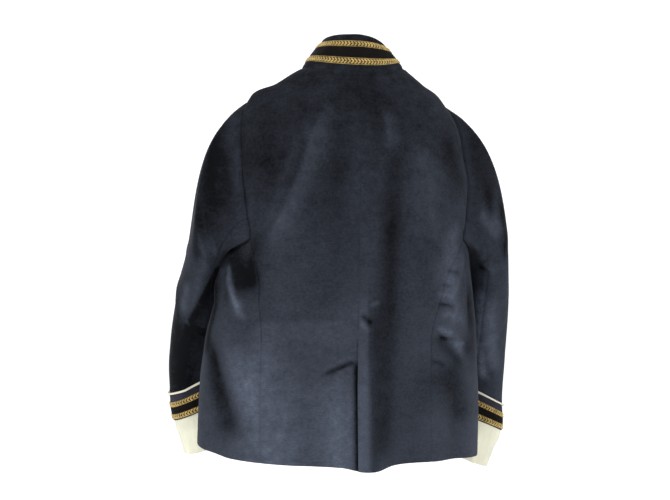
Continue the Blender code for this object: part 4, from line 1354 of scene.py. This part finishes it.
# close upright ribs
RIBBON_CLOTH = toned("black_ribbon", linear(6, 5, 5), linear(19, 16, 15),
                     lambda made: made.wave(made.scaled("UV", (1.0, 0.0, 0.0)), 260.0, "X", 0.2),
                     (0.2, 0.8), (0.45, 0.0004), (60.0, 2.0, 0.5), 0.6, Roughness=0.85,
                     Sheen_Weight=0.0, Specular_IOR_Level=0.08)
# bright wound threads between darker ones, dulled in places
GOLD = toned("gold_braid", linear(80, 60, 24), linear(222, 192, 112),
             lambda made: made.noise(1500.0, 2.0, 0.6), (0.32, 0.62), (0.5, 0.0003),
             (120.0, 3.0, 0.6), 0.55, Metallic=0.40, Roughness=0.42, Specular_IOR_Level=0.5)
SATIN = satin("cream_satin", linear(182, 180, 160), linear(216, 215, 194))
FACING = satin("facing_satin", linear(150, 146, 134), linear(186, 182, 168))
BRAID_GROUND = spun("braid_ground", linear(16, 13, 8), linear(44, 36, 20), 0.9)
CORD = spun("cream_cord", linear(206, 200, 178), linear(246, 243, 228))
THREAD = spun("dark_thread", linear(18, 21, 28), linear(44, 50, 62))
HORN = toned("dark_horn", linear(18, 20, 26), linear(40, 42, 50),
             lambda made: made.noise(1.0, 3.0, 0.6, made.scaled("Object", (60.0, 60.0, 240.0))),
             (0.35, 0.70), (0.08, 0.0004), Roughness=0.28, Specular_IOR_Level=0.5)


# ------------------------------------------------------------------ the garment
for hand in (1.0, -1.0):
    back_panel(hand)
    side_panel(hand)
    front_panel(hand)
    sleeve_wall("sleeve_upper", mix(-SLEEVE_SEAM, SLEEVE_SEAM, spread(84, 0.6)), hand)
    sleeve_wall("sleeve_under", mix(SLEEVE_SEAM, 360.0 - SLEEVE_SEAM, spread(48, 0.6)), hand)
    velvet_cuff(hand)
    satin_cuff(hand)
    cuff_ribbon(hand)
    twisted_cord(hand)
    for label, band in (("upper", CUFF_BRAID_UPPER), ("lower", CUFF_BRAID_LOWER)):
        braid_band(cuff_level(hand), *band, "cuff_braid_" + label + tail(hand))
stand_collar()
collar_ribbon()
collar_facing()
braid_band(collar_level, *LOWER_BRAID, "collar_braid_lower")
braid_band(collar_level, *UPPER_BRAID, "collar_braid_upper")
for number, level in enumerate(BUTTON_LEVELS, 1):
    button("button_%d" % number, level)
    buttonhole("buttonhole_%d" % number, level)


# ------------------------------------------------------------------ studio
FLOOR = -1.25
FLOOR_REACH = 3.6             # where the floor starts to curve up
FLOOR_CURVE = 2.4
PAPER = (0.86, 0.86, 0.86, 1.0)
PAPER_LIGHT = (0.8772, 0.8772, 0.8772, 1.0)
WHITE = (1.0, 1.0, 1.0, 1.0)
AIM = Vector((0.0, 0.0, -0.33))


def backdrop():
    """Pale floor that curves up into a wall all round."""
    profile = [(0.001, 0.0), (2.0, 0.0), (FLOOR_REACH, 0.0)]
    for turn in np.arange(1, 13) * math.pi / 24.0:
        profile.append((FLOOR_REACH + FLOOR_CURVE * math.sin(turn),
                        FLOOR_CURVE * (1.0 - math.cos(turn))))
    profile.append((FLOOR_REACH + FLOOR_CURVE, 6.5))
    turns = turns_round(96)
    points = [(radius * math.cos(turn), radius * math.sin(turn), FLOOR + height)
              for radius, height in profile for turn in turns]
    mesh = bpy.data.meshes.new("backdrop")
    mesh.from_pydata(points, [], quads(len(profile), len(turns), loop_cols=True).tolist())
    mesh.shade_smooth()
    mesh.materials.append(toned("backdrop_white", PAPER, PAPER_LIGHT,
                                lambda made: made.noise(0.8, 2.0, 0.5), (0.3, 0.7),
                                Roughness=0.9, Specular_IOR_Level=0.1,
                                Emission_Color=WHITE, Emission_Strength=0.36))
    made = bpy.data.objects.new("backdrop", mesh)
    bpy.context.scene.collection.objects.link(made)


backdrop()
for name, place, size, power in (("key", (2.3, 1.9, 1.4), 0.8, 52.0),
                                 ("fill", (-2.8, 1.2, 0.4), 1.0, 26.0),
                                 ("front_fill", (0.6, -3.0, 1.2), 2.2, 30.0),
                                 ("top", (0.0, 0.8, 3.0), 1.2, 24.0)):
    data = bpy.data.lights.new(name, "AREA")
    data.shape = "DISK"
    data.size = size
    data.energy = power
    lamp = bpy.data.objects.new(name, data)
    lamp.location = place
    lamp.rotation_euler = (AIM - Vector(place)).to_track_quat("-Z", "Y").to_euler()
    bpy.context.scene.collection.objects.link(lamp)

world = bpy.data.worlds.new("studio")
world.use_nodes = True
sky = world.node_tree.nodes["Background"].inputs
sky["Color"].default_value = WHITE
sky["Strength"].default_value = 0.12
bpy.context.scene.world = world
bpy.context.scene.view_settings.view_transform = "Standard"

CAMERA_TURN = 12.0            # degrees round from straight behind, to the left
CAMERA_DISTANCE = 1.72
CAMERA_SLIDE = -0.0266
CAMERA_HEIGHT = -0.316
SENSOR = 36.0                 # mm
FOCAL_PIXELS = 970.0          # focal length, in pixels of a picture 670 wide
turn = math.radians(CAMERA_TURN)
lens = bpy.data.cameras.new("camera")
lens.sensor_width = SENSOR
lens.lens = FOCAL_PIXELS / 670.0 * SENSOR
camera = bpy.data.objects.new("camera", lens)
camera.location = (math.sin(turn) * CAMERA_DISTANCE - math.cos(turn) * CAMERA_SLIDE,
                   math.cos(turn) * CAMERA_DISTANCE + math.sin(turn) * CAMERA_SLIDE,
                   CAMERA_HEIGHT)
camera.rotation_euler = (math.pi / 2.0, 0.0, math.pi - turn)
bpy.context.scene.collection.objects.link(camera)
bpy.context.scene.camera = camera
